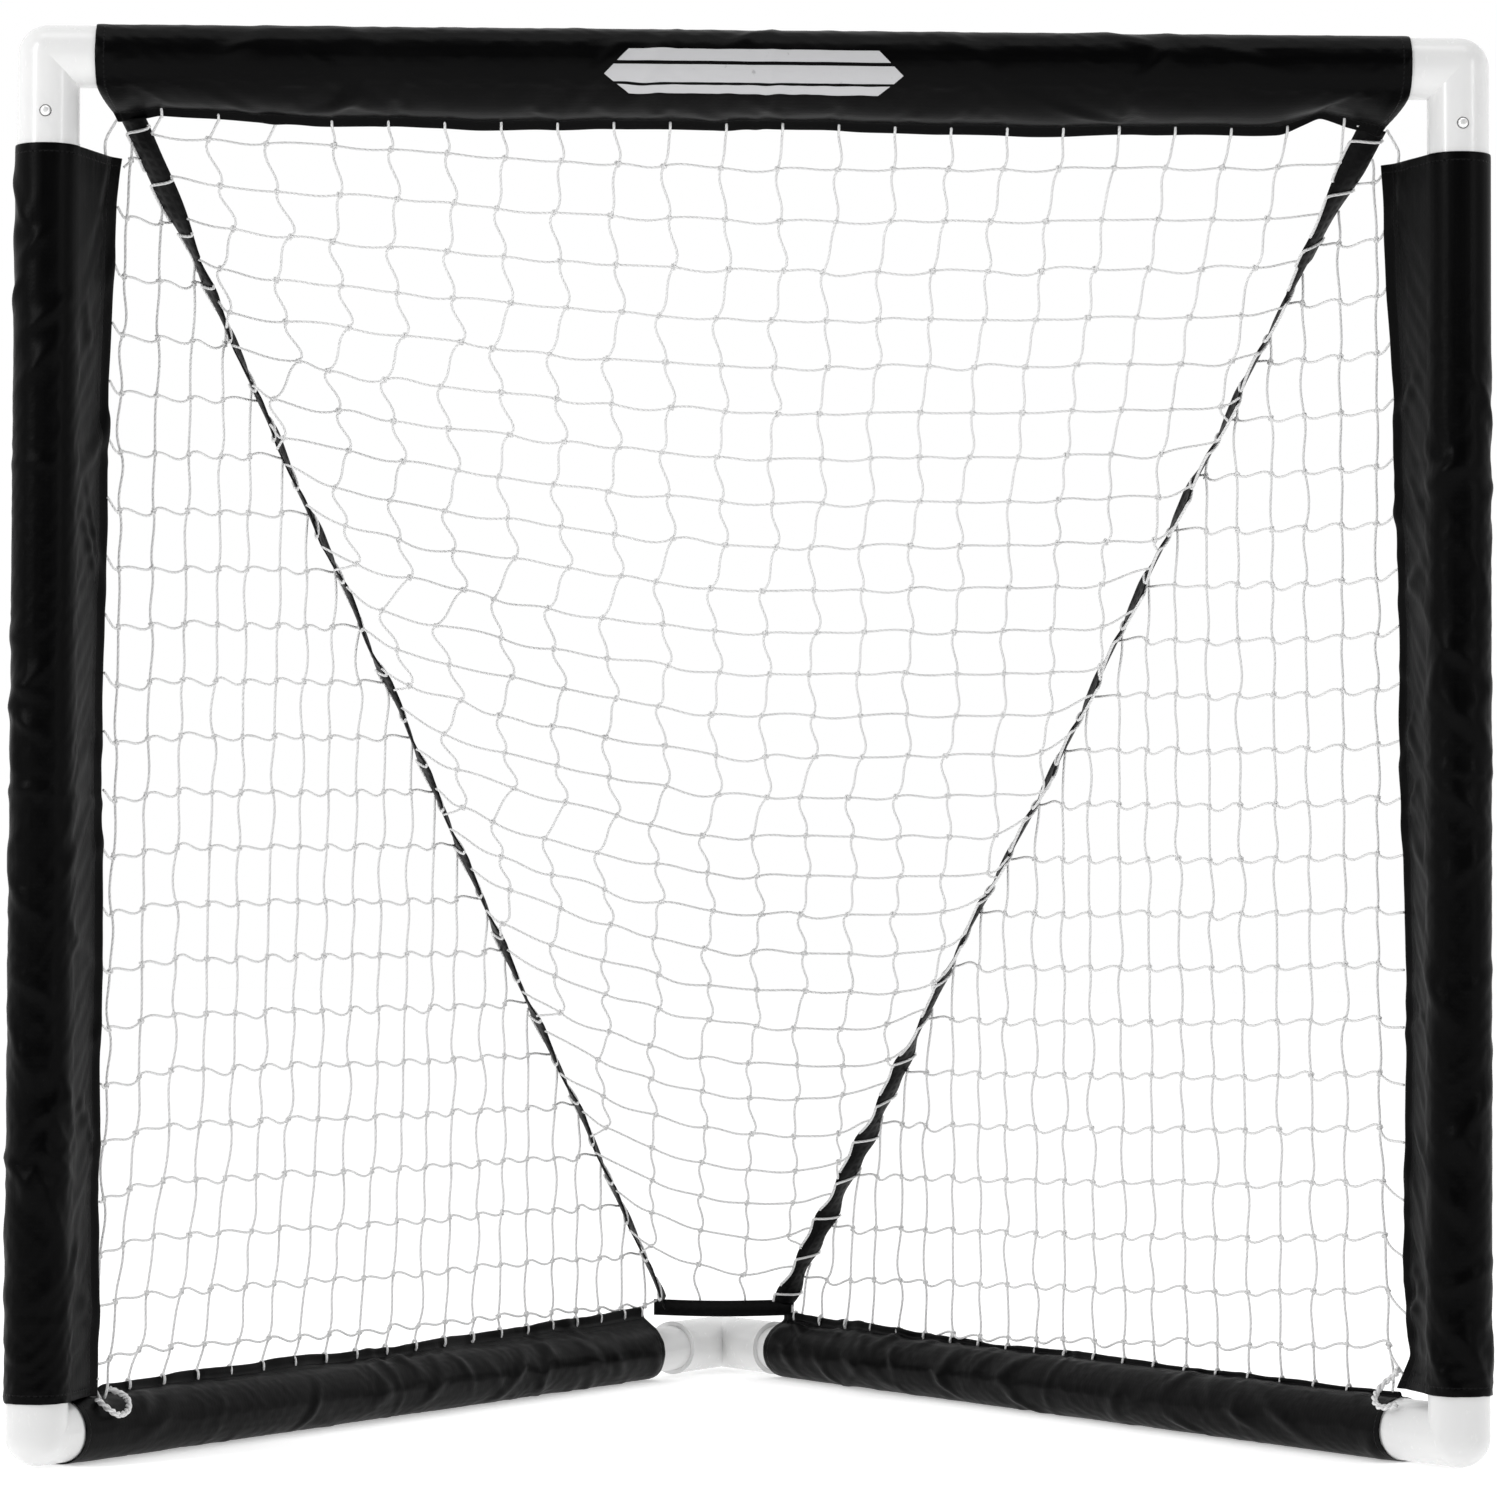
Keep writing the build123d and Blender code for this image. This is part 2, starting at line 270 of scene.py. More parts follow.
def plastic(name, grey, roughness):
    """White moulded or extruded plastic: faint mottling, handling scuffs and orange-peel."""
    made = Finish(name, (grey,) * 3, roughness, Specular_IOR_Level=0.5, Coat_Weight=0.12)
    at = made.objects()
    mottle = made.noise(at, 35.0, detail=3.0)
    scuffs = made.ramp(made.noise(made.scaled(at, (1, 1, 0.35)), 260.0, detail=8.0, rough=0.7), 0.62, 0.78)
    tint = made.mix(made.ramp(mottle, 0.35, 0.65), (grey * 0.975,) * 3, (grey, grey, grey * 0.995))
    made.color(made.mix(made.math("MULTIPLY", scuffs, 0.18), tint, (grey * 0.72,) * 3))
    made.roughness(made.math("ADD", made.math("MULTIPLY", scuffs, 0.22), roughness))
    made.bump((made.noise(at, 900.0, detail=2.0), 0.05, 0.3 * MM), (scuffs, 0.05, 0.1 * MM))
    return made.material


def steel(name, grey, roughness):
    """Plated spring steel: fine brushing and small dull patches."""
    made = Finish(name, (grey,) * 3, roughness, Metallic=1.0)
    at = made.objects()
    brush = made.noise(made.scaled(at, (1, 1, 14)), 900.0, detail=3.0)
    dull = made.ramp(made.noise(at, 240.0), 0.5, 0.7)
    made.color(made.mix(dull, (grey,) * 3, (grey * 0.7, grey * 0.69, grey * 0.66)))
    made.roughness(made.math("ADD", made.math("MULTIPLY", dull, 0.2), roughness))
    made.bump((brush, 0.12, 0.1 * MM))
    return made.material


THREAD = 0.55 * MM  # one visible rib of the cloth's weave
STITCH = 3.4 * MM
STITCH_WIDTH = 0.7 * MM
HEM_ROW_GAP = 4.2 * MM  # between the two rows of stitches along a hem
END_ROW = 5.5 * MM  # from a sleeve's open end to its stitches


def weave(made, uv, pitch):
    """Height of a plain weave of this pitch, from a uv map in metres."""
    along = made.node("TexWave", wave_type="BANDS", bands_direction="X", wave_profile="SIN")
    around = made.node("TexWave", wave_type="BANDS", bands_direction="Y", wave_profile="SIN")
    for band in (along, around):
        made.plug(band, {"Scale": 1 / (pitch * 20), "Distortion": 0.0, "Vector": uv})
    return made.math("MAXIMUM", along.outputs["Fac"], around.outputs["Fac"])


def stitching(made, uv, around, length):
    """Rows of thread: two along each side of the flap's hem and one near each open end.

    Returns a mask of the thread and a mask of the dents beside it."""
    along, across = made.split(uv)[:2]
    from_tip = made.math("MINIMUM", across, made.math("SUBTRACT", around, across))
    from_end = made.math("MINIMUM", along, made.math("SUBTRACT", length, along))
    masks = []
    for distance, rows, run in ((from_tip, (HEM_BAND, HEM_BAND + HEM_ROW_GAP), along),
                                (from_end, (END_ROW,), across)):
        dashes = made.math("SINE", made.math("MULTIPLY", run, 2 * math.pi / STITCH))
        for row in rows:
            off = made.math("ABSOLUTE", made.math("SUBTRACT", distance, row))
            line = made.ramp(off, 0.0, STITCH_WIDTH, 1.0, 0.0)
            masks.append((made.math("MULTIPLY", line, made.ramp(dashes, -0.5, 0.1)), line))
    thread, dent = masks[0]
    for more_thread, more_dent in masks[1:]:
        thread = made.math("MAXIMUM", thread, more_thread)
        dent = made.math("MAXIMUM", dent, more_dent)
    return thread, dent


BLACK = (0.0009, 0.0009, 0.001)
FADED_BLACK = (0.0016, 0.0016, 0.0017)
THREAD_BLACK = (0.012, 0.012, 0.0125)
PRINT_SILVER = (0.5, 0.5, 0.51)
CLOTH_ROUGHNESS = 0.26
BAR_LINE_AT = 0.45  # the lines' height and half thickness, as shares of half the bar's
BAR_LINE_HALF = 0.07


def printed_bar(made, uv, bar):
    """Mask of a plain six-sided bar with a line through it near each long edge."""
    along, across = made.split(uv)[:2]
    beside = made.math("ABSOLUTE", made.math("SUBTRACT", along, bar["along"]))
    rise = made.math("ABSOLUTE", made.math("SUBTRACT", across, bar["from_tip"]))
    half_height = bar["half_height"]
    within = made.math("LESS_THAN", made.math("ADD", beside, rise), bar["half_length"])
    inside = made.math("MULTIPLY", within, made.math("LESS_THAN", rise, half_height))
    gap = made.math("COMPARE", rise, half_height * BAR_LINE_AT)
    gap.node.inputs[2].default_value = half_height * BAR_LINE_HALF
    return made.math("MULTIPLY", inside, made.math("SUBTRACT", 1.0, gap))


def cloth(name, around, length, bar=None):
    """Black coated polyester with a satin sheen, streaks along the thread and fine crumples.

    bar places one plain silver print, as distances along the sleeve and from its flap's tip."""
    made = Finish(name, BLACK, CLOTH_ROUGHNESS, Specular_IOR_Level=0.055, Anisotropic=0.3)
    uv = made.uv()
    at = made.objects()
    streak = made.noise(made.scaled(uv, (6, 260, 1)), 1.0, detail=5.0, rough=0.6)
    crumple = made.noise(at, 46.0, detail=6.0, rough=0.62, distortion=0.6)
    thread, dent = stitching(made, uv, around, length)
    faded = made.ramp(made.noise(at, 9.0, detail=3.0), 0.45, 0.75)
    shade = made.mix(faded, BLACK, FADED_BLACK)
    if bar:
        worn = made.ramp(made.noise(at, 240.0, detail=5.0), 0.24, 0.34, 0.7, 1.0)
        shade = made.mix(made.math("MULTIPLY", printed_bar(made, uv, bar), worn), shade, PRINT_SILVER)
    made.color(made.mix(made.math("MULTIPLY", thread, 0.6), shade, THREAD_BLACK))
    made.roughness(made.math("ADD", made.math("MULTIPLY", streak, 0.22), CLOTH_ROUGHNESS))
    made.bump((crumple, 0.2, 1.2 * MM), (streak, 0.12, 0.4 * MM), (weave(made, uv, THREAD), 0.2, 0.12 * MM),
              (made.math("MULTIPLY", dent, -1.0), 0.6, 0.5 * MM), (thread, 0.5, 0.4 * MM))
    return made.material


def webbing(name):
    """Black strap: coarse ribs across it, dull edges."""
    made = Finish(name, (0.0015, 0.0015, 0.0016), 0.5, Specular_IOR_Level=0.09)
    ribs = weave(made, made.uv(), 1.1 * MM)
    fuzz = made.noise(made.objects(), 1500.0, detail=3.0)
    made.color(made.mix(made.ramp(fuzz, 0.4, 0.7), (0.0012, 0.0012, 0.0013), (0.0035, 0.0035, 0.0037)))
    made.roughness(made.ramp(ribs, 0.2, 1.0, 0.62, 0.42))
    made.bump((ribs, 0.5, 0.35 * MM), (fuzz, 0.2, 0.15 * MM))
    return made.material


def cord_finish(name, grey, twist):
    """White twisted cord: strands that run round it, with fibre fuzz and painted shade darkening the lay
    between strands.
    """
    made = Finish(name, (grey,) * 3, 0.62, Specular_IOR_Level=0.3, Sheen_Weight=0.15)
    along, around = made.split(made.uv())[:2]
    turns = made.math("ADD", made.math("MULTIPLY", along, 1 / twist), made.math("MULTIPLY", around, 2.0))
    strands = made.math("ABSOLUTE", made.math("SINE", made.math("MULTIPLY", turns, math.pi)))
    fuzz = made.noise(made.objects(), 2600.0, detail=2.0)
    # painted shade: the lay between the strands is darkened to stand in for the shadow there
    painted_lay_shade = made.mix(made.ramp(strands, 0.0, 0.5), (grey * 0.74,) * 3, (grey,) * 3)
    made.color(made.mix(made.ramp(fuzz, 0.45, 0.75), painted_lay_shade, (grey * 0.86,) * 3))
    made.bump((strands, 0.9, 0.35 * MM), (fuzz, 0.3, 0.1 * MM))
    return made.material


def floor_finish():
    made = Finish("floor_paint", (0.95, 0.95, 0.95), 0.95, Specular_IOR_Level=0.0,
                  Emission_Color=(1, 1, 1, 1), Emission_Strength=0.4)
    shade = made.ramp(made.noise(made.objects(), 3.0), 0.3, 0.7)
    made.color(made.mix(shade, (0.915, 0.915, 0.915), (0.925, 0.925, 0.925)))
    return made.material


# ---- mesh helpers -----------------------------------------------------------------------


def new_object(name, points, faces, finish, uvs=None):
    mesh = bpy.data.meshes.new(name)
    mesh.from_pydata([tuple(p) for p in points], [], [tuple(f) for f in faces])
    mesh.update()
    if uvs is not None:
        layer = mesh.uv_layers.new(name="uv")
        layer.data.foreach_set("uv", np.asarray(uvs, np.float32).ravel())
    mesh.polygons.foreach_set("use_smooth", [True] * len(mesh.polygons))
    mesh.materials.append(finish)
    made = bpy.data.objects.new(name, mesh)
    bpy.context.scene.collection.objects.link(made)
    return made


def apply_modifiers(piece):
    """Bake every modifier into the piece's own mesh."""
    graph = bpy.context.evaluated_depsgraph_get()
    graph.update()
    final = bpy.data.meshes.new_from_object(piece.evaluated_get(graph), depsgraph=graph)
    piece.modifiers.clear()
    old = piece.data
    piece.data = final
    bpy.data.meshes.remove(old)
    final.name = piece.name


def ride(piece, slot, *replaced):
    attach(piece, BODY)
    if replaced:
        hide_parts(*replaced)


def grid_quads(rows, columns):
    """Quads of a tube's grid of points, and each corner's (row, column) before wrapping round."""
    row, column = np.meshgrid(np.arange(rows - 1), np.arange(columns), indexing="ij")
    row, column = row.ravel(), column.ravel()
    corners = [(row, column), (row + 1, column), (row + 1, column + 1), (row, column + 1)]
    faces = np.stack([r * columns + c % columns for r, c in corners], 1)
    marks = np.stack([np.stack([r, c], 1) for r, c in corners], 1)
    return faces, marks


def lengths_along(line):
    steps = np.linalg.norm(np.diff(line, axis=0), axis=1)
    return np.concatenate([[0.0], np.cumsum(steps)])


def smooth_line(points, samples):
    """Even samples of a Catmull-Rom curve through given points."""
    points = np.asarray(points, float)
    padded = np.vstack([2 * points[0] - points[1], points, 2 * points[-1] - points[-2]])
    share = np.linspace(0, len(points) - 1 - 1e-9, samples)
    span = share.astype(int)
    t = (share - span)[:, None]
    a, b, c, d = (padded[span + k] for k in range(4))
    return 0.5 * (2 * b + (c - a) * t + (2 * a - 5 * b + 4 * c - d) * t ** 2
                  + (3 * b - a - 3 * c + d) * t ** 3)


def mesh_points(piece):
    """A piece's points and their normals."""
    found = []
    for what in ("co", "normal"):
        values = np.zeros(len(piece.data.vertices) * 3)
        piece.data.vertices.foreach_get(what, values)
        found.append(values.reshape(-1, 3))
    return found


def move_points(piece, points):
    piece.data.vertices.foreach_set("co", points.ravel())
    piece.data.update()


def ring_round(line, normal, angle, closed=False):
    """Unit vectors square to a line at each of its points, turned by these angles about it."""
    way = np.roll(line, -1, 0) - np.roll(line, 1, 0) if closed else np.gradient(line, axis=0)
    way /= np.linalg.norm(way, axis=1)[:, None]
    across = np.cross(way, normal)
    across /= np.linalg.norm(across, axis=1)[:, None]
    other = np.cross(across, way)
    return across[:, None] * np.cos(angle)[..., None] + other[:, None] * np.sin(angle)[..., None]


class Bundle:
    """Many round cords gathered into one mesh."""

    def __init__(self):
        self.points, self.faces, self.uvs, self.count = [], [], [], 0

    def add(self, line, radius, sides, normal, closed=False):
        angle = np.arange(sides) * 2 * math.pi / sides
        rings = line[:, None] + ring_round(line, normal, angle, closed) * radius
        rows = len(line)
        travelled = lengths_along(np.vstack([line, line[:1]]) if closed else line)
        faces, marks = grid_quads(rows + closed, sides)
        faces = faces % (rows * sides)
        self.points.append(rings.reshape(-1, 3))
        self.faces += (faces + self.count).tolist()
        self.uvs.append(np.stack([travelled[marks[..., 0]], marks[..., 1] / sides], -1).reshape(-1, 2))
        if not closed:
            head = list(range(self.count, self.count + sides))
            tail = [k + (rows - 1) * sides for k in head]
            self.faces += [head, tail[::-1]]
            self.uvs.append(np.zeros((2 * sides, 2)))
        self.count += rows * sides

    def build(self, name, slot):
        return new_object(name, np.vstack(self.points), self.faces, FINISHES[slot], np.vstack(self.uvs))

    def fit(self, name, slot, *replaced):
        ride(self.build(name, slot), slot, *replaced)


# ---- cloth sleeves ----------------------------------------------------------------------
HEM_BAND = 8.0 * MM
HEM_GAP = 0.55 * MM  # half the space between a flap's two layers
CLOTH = 0.45 * MM
INNER_R = SLEEVE_R - 1.7 * MM  # hidden pipe that keeps the moving cloth this far out
LEAST_REACH = SLEEVE_R + 3 * MM  # a flap's tip never comes closer to its pipe's axis
AROUND = 64  # points round a sleeve, and the step between rows of them
STEP = 4.2 * MM
# layers of (wavelength, size) in metres: a flap's edge in and out, and sideways
SCALLOP_WAVES = ((35 * MM, 0.8 * MM), (120 * MM, 1.2 * MM))
SWAY_WAVES = ((60 * MM, 1.8 * MM), (21 * MM, 0.6 * MM))
END_FADE = 26 * MM  # how far the slant of a sleeve's end reaches along it
CLOTH_SETTINGS = dict(
    quality=5, mass=0.12, air_damping=3.0, tension_stiffness=12.0, compression_stiffness=12.0,
    shear_stiffness=4.0, bending_stiffness=0.35, pin_stiffness=1.0,
)
END_HOLD = 0.6
CLOTH_TOUCH = 1.0 * MM  # the cloth's and the hidden pipe's collision distances
PIPE_TOUCH = 0.8 * MM
SETTLE_FRAMES = 21
CREASE_HALF, GROOVE_OFF, GROOVE_HALF = 2.6 * MM, 6 * MM, 4 * MM
GROOVE_SHARE = 0.25  # of a crease's height, for the groove beside it
FOLD_SPREAD = 42 * MM  # of folds about a packing crease
FOLD_NEAR = 5 * MM  # an anchor's greatest distance from its drawn place
FOLD_SLANT = (0.35, 1.15)  # radians from the sleeve's own way
FOLD_LENGTH, FOLD_WIDTH, FOLD_HEIGHT = (12, 34), (2.8, 6.5), (0.9, 2.3)  # mm
FOLD_LIMITS = (-0.4 * MM, 3 * MM)
BUMP_TOP = BUTTON_RISE + 0.7 * MM  # over a button: height, widths of top and foot, and extent
BUMP_R, BUMP_FOOT_R = 6.5 * MM, 7 * MM
BUMP_DOWN, BUMP_END = 4 * MM, 16 * MM


def teardrop(reach):
    """Outline of a sleeve about its tube: out from the flap's tip, round the tube and back.

    Returns points as (towards the flap, across it), and the length of the outline."""
    seam = max(reach - HEM_BAND, LEAST_REACH)
    turn = math.acos(SLEEVE_R / seam)
    arc = np.linspace(-turn, -(2 * math.pi - turn), 90)
    loop = [(reach, -HEM_GAP), (seam, -HEM_GAP)]
    loop += [(SLEEVE_R * math.cos(a), SLEEVE_R * math.sin(a)) for a in arc]
    loop += [(seam, HEM_GAP), (reach, HEM_GAP)]
    loop = np.array(loop)
    travelled = lengths_along(loop)
    even = np.linspace(0, travelled[-1], AROUND)
    outline = np.stack([np.interp(even, travelled, loop[:, k]) for k in range(2)], 1)
    return outline, travelled[-1]


def smooth_noise(rng, places, wavelength, size):
    """Smooth random values at these distances along a line, at most about size."""
    knots = int((places.max() - places.min()) / wavelength) + 4
    values = rng.uniform(-1, 1, knots)
    at = (places - places.min()) / wavelength + 1
    low = at.astype(int)
    t = at - low
    t = t * t * (3 - 2 * t)
    return size * (values[low] * (1 - t) + values[low + 1] * t)


def waver(rng, places, waves, values=0.0):
    """Values along a line plus smooth noise, one layer for each (wavelength, size)."""
    for wavelength, size in waves:
        values = values + smooth_noise(rng, places, wavelength, size)
    return values


def sleeve(node, plan, seed, obstacles):
    """Cloth tube over a pipe: draped with a little spare cloth, then creased and rumpled."""
    rng = np.random.default_rng(seed)
    start, way, length, flap = (plan[key] for key in ("start", "way", "length", "flap"))
    reach = np.linalg.norm(flap)
    flap_way = flap / reach
    across = np.cross(way, flap_way)
    outline, around_length = teardrop(reach)
    rows = int(length / STEP)
    along = np.linspace(0, length, rows)
    shape = np.array(plan["shape"]) * MM
    scallop = np.maximum(np.interp(along, shape[:, 0], shape[:, 1]), LEAST_REACH - reach)
    scallop = waver(rng, along, SCALLOP_WAVES, scallop)
    sway = waver(rng, along, SWAY_WAVES)
    tip_share = np.clip((outline[:, 0] - SLEEVE_R * 0.5) / (reach - SLEEVE_R * 0.5), 0, 1)
    out = outline[None, :, 0] + scallop[:, None] * tip_share[None]
    aside = outline[None, :, 1] + sway[:, None] * tip_share[None] ** 1.5
    outward = np.maximum(SLEEVE_R / np.hypot(out, aside), 1)
    out, aside = out * outward, aside * outward
    inset = (plan["inset"][0] * np.exp(-along / END_FADE)
             - plan["inset"][1] * np.exp((along - length) / END_FADE))
    travel = along[:, None] + inset[:, None] * tip_share[None] ** 1.5 * MM
    points = start + way * travel[..., None] + flap_way * out[..., None] + across * aside[..., None]
    faces, marks = grid_quads(rows, AROUND)
    uv_step = np.array([length / (rows - 1), around_length / (AROUND - 1)])
    finish = cloth(node + "_cloth", around_length, length, LOGO if node == "crossbar_sleeve" else None)
    name = node.replace("sleeve", "cover")
    piece = new_object(name, points.reshape(-1, 3), faces, finish, marks.reshape(-1, 2) * uv_step)
    hem = np.flatnonzero(outline[:, 0] > reach - HEM_BAND * 1.05)
    drape(piece, rows, hem, plan["gather"], obstacles)
    crease(piece, start, way, flap_way, np.array(plan["creases"]) * [MM, MM, 1])
    rumple(piece, start, way, rng, plan["folds"], plan["creases"])
    raise_over(piece, plan["buttons"])
    keep_off_floor(piece)
    shell = piece.modifiers.new("thickness", "SOLIDIFY")
    shell.thickness = CLOTH
    shell.offset = 0.0
    smooth = piece.modifiers.new("smooth", "SUBSURF")
    smooth.levels = smooth.render_levels = 1
    apply_modifiers(piece)
    return piece, around_length


def drape(piece, rows, hem, gather, obstacles):
    """Let the cloth settle round its pipe: the hem is held, the ends partly, and it's cut long."""
    pins = piece.vertex_groups.new(name="held")
    for row in range(rows):
        pins.add([int(row * AROUND + k) for k in hem], 1.0, "REPLACE")
    for row in (0, rows - 1):
        pins.add(list(range(row * AROUND, (row + 1) * AROUND)), END_HOLD, "REPLACE")
    modifier = piece.modifiers.new("Cloth", "CLOTH")
    for key, value in CLOTH_SETTINGS.items():
        setattr(modifier.settings, key, value)
    modifier.settings.vertex_group_mass = pins.name
    modifier.settings.shrink_min = -gather
    modifier.collision_settings.use_collision = True
    modifier.collision_settings.distance_min = CLOTH_TOUCH
    modifier.collision_settings.use_self_collision = False
    for obstacle in obstacles:
        obstacle.modifiers.new("Collision", "COLLISION")
        obstacle.collision.thickness_outer = PIPE_TOUCH
    scene = bpy.context.scene
    for number in range(SETTLE_FRAMES):
        scene.frame_set(1 + number)
    apply_modifiers(piece)
    scene.frame_set(1)
    for obstacle in obstacles:
        obstacle.modifiers.clear()


def rumple(piece, start, way, rng, count, creases):
    """Raise short slanting folds in the cloth, two in three of them near its packing creases."""
    points, normals = mesh_points(piece)
    along = (points - start) @ way
    rise = np.zeros(len(points))
    marks = [place * MM for place, depth, lean in creases]
    for number in range(count):
        anchor = rng.integers(len(points))
        if number % 3 < 2:
            wanted = rng.choice(marks) + rng.normal(0, FOLD_SPREAD)
            near = np.flatnonzero(np.abs(along - wanted) < FOLD_NEAR)
            if len(near):
                anchor = rng.choice(near)
        around = unit(np.cross(normals[anchor], way))
        slant = rng.uniform(*FOLD_SLANT) * rng.choice([-1, 1])
        run = way * math.cos(slant) + around * math.sin(slant)
        off = points - points[anchor]
        beside = off @ unit(np.cross(normals[anchor], run))
        down = off @ run
        size = rng.uniform(*FOLD_LENGTH) * MM
        width = rng.uniform(*FOLD_WIDTH) * MM
        facing = np.clip(normals @ normals[anchor], 0, 1)
        fold = np.exp(-(beside / width) ** 2) - 0.45 * np.exp(-((beside - 2 * width) / (1.4 * width)) ** 2)
        rise += fold * np.exp(-(down / size) ** 2) * facing * rng.uniform(*FOLD_HEIGHT) * MM
    move_points(piece, points + normals * np.clip(rise, *FOLD_LIMITS)[:, None])


def raise_over(piece, buttons):
    """Lift the cloth in a soft bump over each snap button that it hides."""
    points = mesh_points(piece)[0]
    for button in buttons:
        outward = -Y_AXIS if "crossbar" in button else rail_out(SIDES[button.split("_")[-1]])
        off = points - middle(button)
        rise = off @ outward
        beside = np.linalg.norm(off - rise[:, None] * outward, axis=1)
        near = (rise > -BUMP_DOWN) & (beside < BUMP_END)
        target = BUMP_TOP * np.exp(-(beside / BUMP_R) ** 4)
        lift = np.clip(target - rise, 0, None) * np.exp(-(beside / BUMP_FOOT_R) ** 6)
        points[near] += (outward * lift[:, None])[near]
    move_points(piece, points)


def keep_off_floor(piece):
    """Cloth that would hang through the floor lies on it instead."""
    for vertex in piece.data.vertices:
        vertex.co.z = max(vertex.co.z, CLOTH)
    piece.data.update()


def crease(piece, start, way, flap_way, creases):
    """Press packing folds into the cloth: each is (distance along it, height, lean)."""
    points, normals = mesh_points(piece)
    along = (points - start) @ way
    aside = (points - start) @ flap_way
    for place, height, lean in creases:
        off = along - place - lean * aside
        ridge = np.exp(-(off / CREASE_HALF) ** 2)
        groove = np.exp(-((off - GROOVE_OFF) / GROOVE_HALF) ** 2)
        points += normals * (height * ridge)[:, None]
        points -= normals * (GROOVE_SHARE * height * groove)[:, None]
    move_points(piece, points)


def obstacle_tube(start, end):
    """A hidden pipe for the cloth to rest on. It is removed after the simulation."""
    way = unit(end - start)
    made = Bundle()
    made.add(np.linspace(start, end, 12), INNER_R, 32, np.cross(way, X_AXIS if abs(way[0]) < 0.9 else Z_AXIS))
    piece = made.build("obstacle", "pipe_plastic")
    piece.hide_render = True
    return piece


def packed_sleeves():
    """How each sleeve is cut and laid.

    start, way, length: its line, in metres; flap: from the pipe's axis to the flap's tip;
    inset: slant of its two ends at the tip, mm; shape: how much further its flap reaches, at
    distances along it, mm; creases: (mm along it, mm high, lean); gather: share of spare cloth."""
    plans = {}
    low, high = box("crossbar_sleeve")
    flap = np.array([0, HEM_Y - FRONT_Y, HEM_Z - CROSSBAR_Z])
    plans["crossbar_sleeve"] = dict(
        start=np.array([low[0], FRONT_Y, CROSSBAR_Z]), way=X_AXIS, length=high[0] - low[0], flap=flap,
        inset=(10, 13),
        shape=[(0, -3), (14, -4), (34, -9), (120, -2), (240, 0), (752, 0), (776, -13), (796, -6), (823, 0)],
        creases=[(174, 0.5, 0.1), (300, 0.3, -0.2), (422, 1.1, -0.15), (640, 0.4, 0.2)],
        gather=0.004, folds=34, rests_on=["crossbar"],
        buttons=["button_crossbar_left", "button_crossbar_right"],
    )
    post_shapes = {
        "left": [(0, 0), (480, 0), (636, 2), (757, 8), (785, 14)],
        "right": [(0, 0), (22, -13), (82, -7), (323, -7), (630, 0), (781, 10)],
    }
    post_creases = {
        "left": [(50, 0.5, 0.1), (135, 0.6, -0.1), (218, 0.5, 0.1), (378, 1.3, -0.1), (586, 0.9, 0.1)],
        "right": [(70, 0.5, 0.1), (392, 1.3, 0.1), (580, 1.0, -0.1)],
    }
    base_shapes = {
        "left": [(0, -9), (32, -9), (44, -3), (358, -1.5), (735, 3)],
        "right": [(0, -9), (34, -9.5), (233, -9.5), (398, -7), (712, -1.5), (735, -1)],
    }
    base_buttons = {"left": ["button_rail_front_left"], "right": []}
    for label, side in SIDES.items():
        low, high = box("post_sleeve_" + label)
        inner = min(abs(low[0]), abs(high[0]))
        plans["post_sleeve_" + label] = dict(
            start=corner(side, low[2]), way=Z_AXIS, length=high[2] - low[2], inset=(0, 0),
            flap=np.array([-side * (POST_X - inner), high[1] - FRONT_Y, 0]),
            shape=post_shapes[label], creases=post_creases[label], gather=0.006, folds=90,
            rests_on=["post_" + label], buttons=["button_post_bottom_" + label],
        )
        low, high = box("base_sleeve_" + label)
        way, out = rail_way(side), rail_out(side)
        reach = (box("crossbar_sleeve")[1][2] - CROSSBAR_Z) * out[1]
        first = (low[1] - FRONT_Y + reach) / way[1]
        last = (high[1] - FRONT_Y - reach) / way[1]
        plans["base_sleeve_" + label] = dict(
            start=corner(side, RAIL_Z) + way * first, way=way, length=last - first, inset=(3, 0),
            flap=np.array([0, 0, FLAP_TIP_Z - RAIL_Z]), shape=base_shapes[label],
            creases=[(150, 0.6, 0.3), (365, 1.0, -0.3), (560, 0.6, 0.2), (650, 0.5, -0.2)],
            gather=0.004, folds=60, rests_on=["base_rail_" + label], buttons=base_buttons[label],
        )
    return plans


SLEEVES = packed_sleeves()


def flap_tip(node, along):
    """Point on the edge of a sleeve's flap, this far along the sleeve."""
    plan = SLEEVES[node]
    shape = np.array(plan["shape"]) * MM
    reach = np.linalg.norm(plan["flap"])
    further = np.maximum(np.interp(along, shape[:, 0], shape[:, 1]), LEAST_REACH - reach)
    return plan["start"] + plan["way"] * along + plan["flap"] * (1 + further / reach)


RAIL_RUN = 0.86  # metres of pipe along a base rail, from its front corner


def pipe_in(node):
    """Ends of the pipe inside a sleeve."""
    side = SIDES.get(node.split("_")[-1])
    if node == "crossbar_sleeve":
        return corner(-1, CROSSBAR_Z), corner(1, CROSSBAR_Z)
    if node.startswith("post"):
        return corner(side, RAIL_Z), corner(side, CROSSBAR_Z)
    return corner(side, RAIL_Z), corner(side, RAIL_Z) + rail_way(side) * RAIL_RUN


SLEEVE_SEED = 11
LOGO = dict(along=0.412, from_tip=0.0615, half_length=0.094, half_height=0.0155)


def make_sleeves():
    for number, (node, plan) in enumerate(SLEEVES.items()):
        obstacles = [obstacle_tube(*pipe_in(node))]
        piece, around = sleeve(node, plan, SLEEVE_SEED + number, obstacles)
        for obstacle in obstacles:
            bpy.data.objects.remove(obstacle)
        ride(piece, "sleeve_cloth", node)


# ---- straps -----------------------------------------------------------------------------
STRAP_HALF = 9.5 * MM
STRAP_THICK = 1.0 * MM
STRAP_CURL = 1.4 * MM
BACK_OVERLAP = 9 * MM  # the back strap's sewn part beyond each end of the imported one
BACK_SAG = 1.2 * MM
BACK_TWIST = np.radians(4)


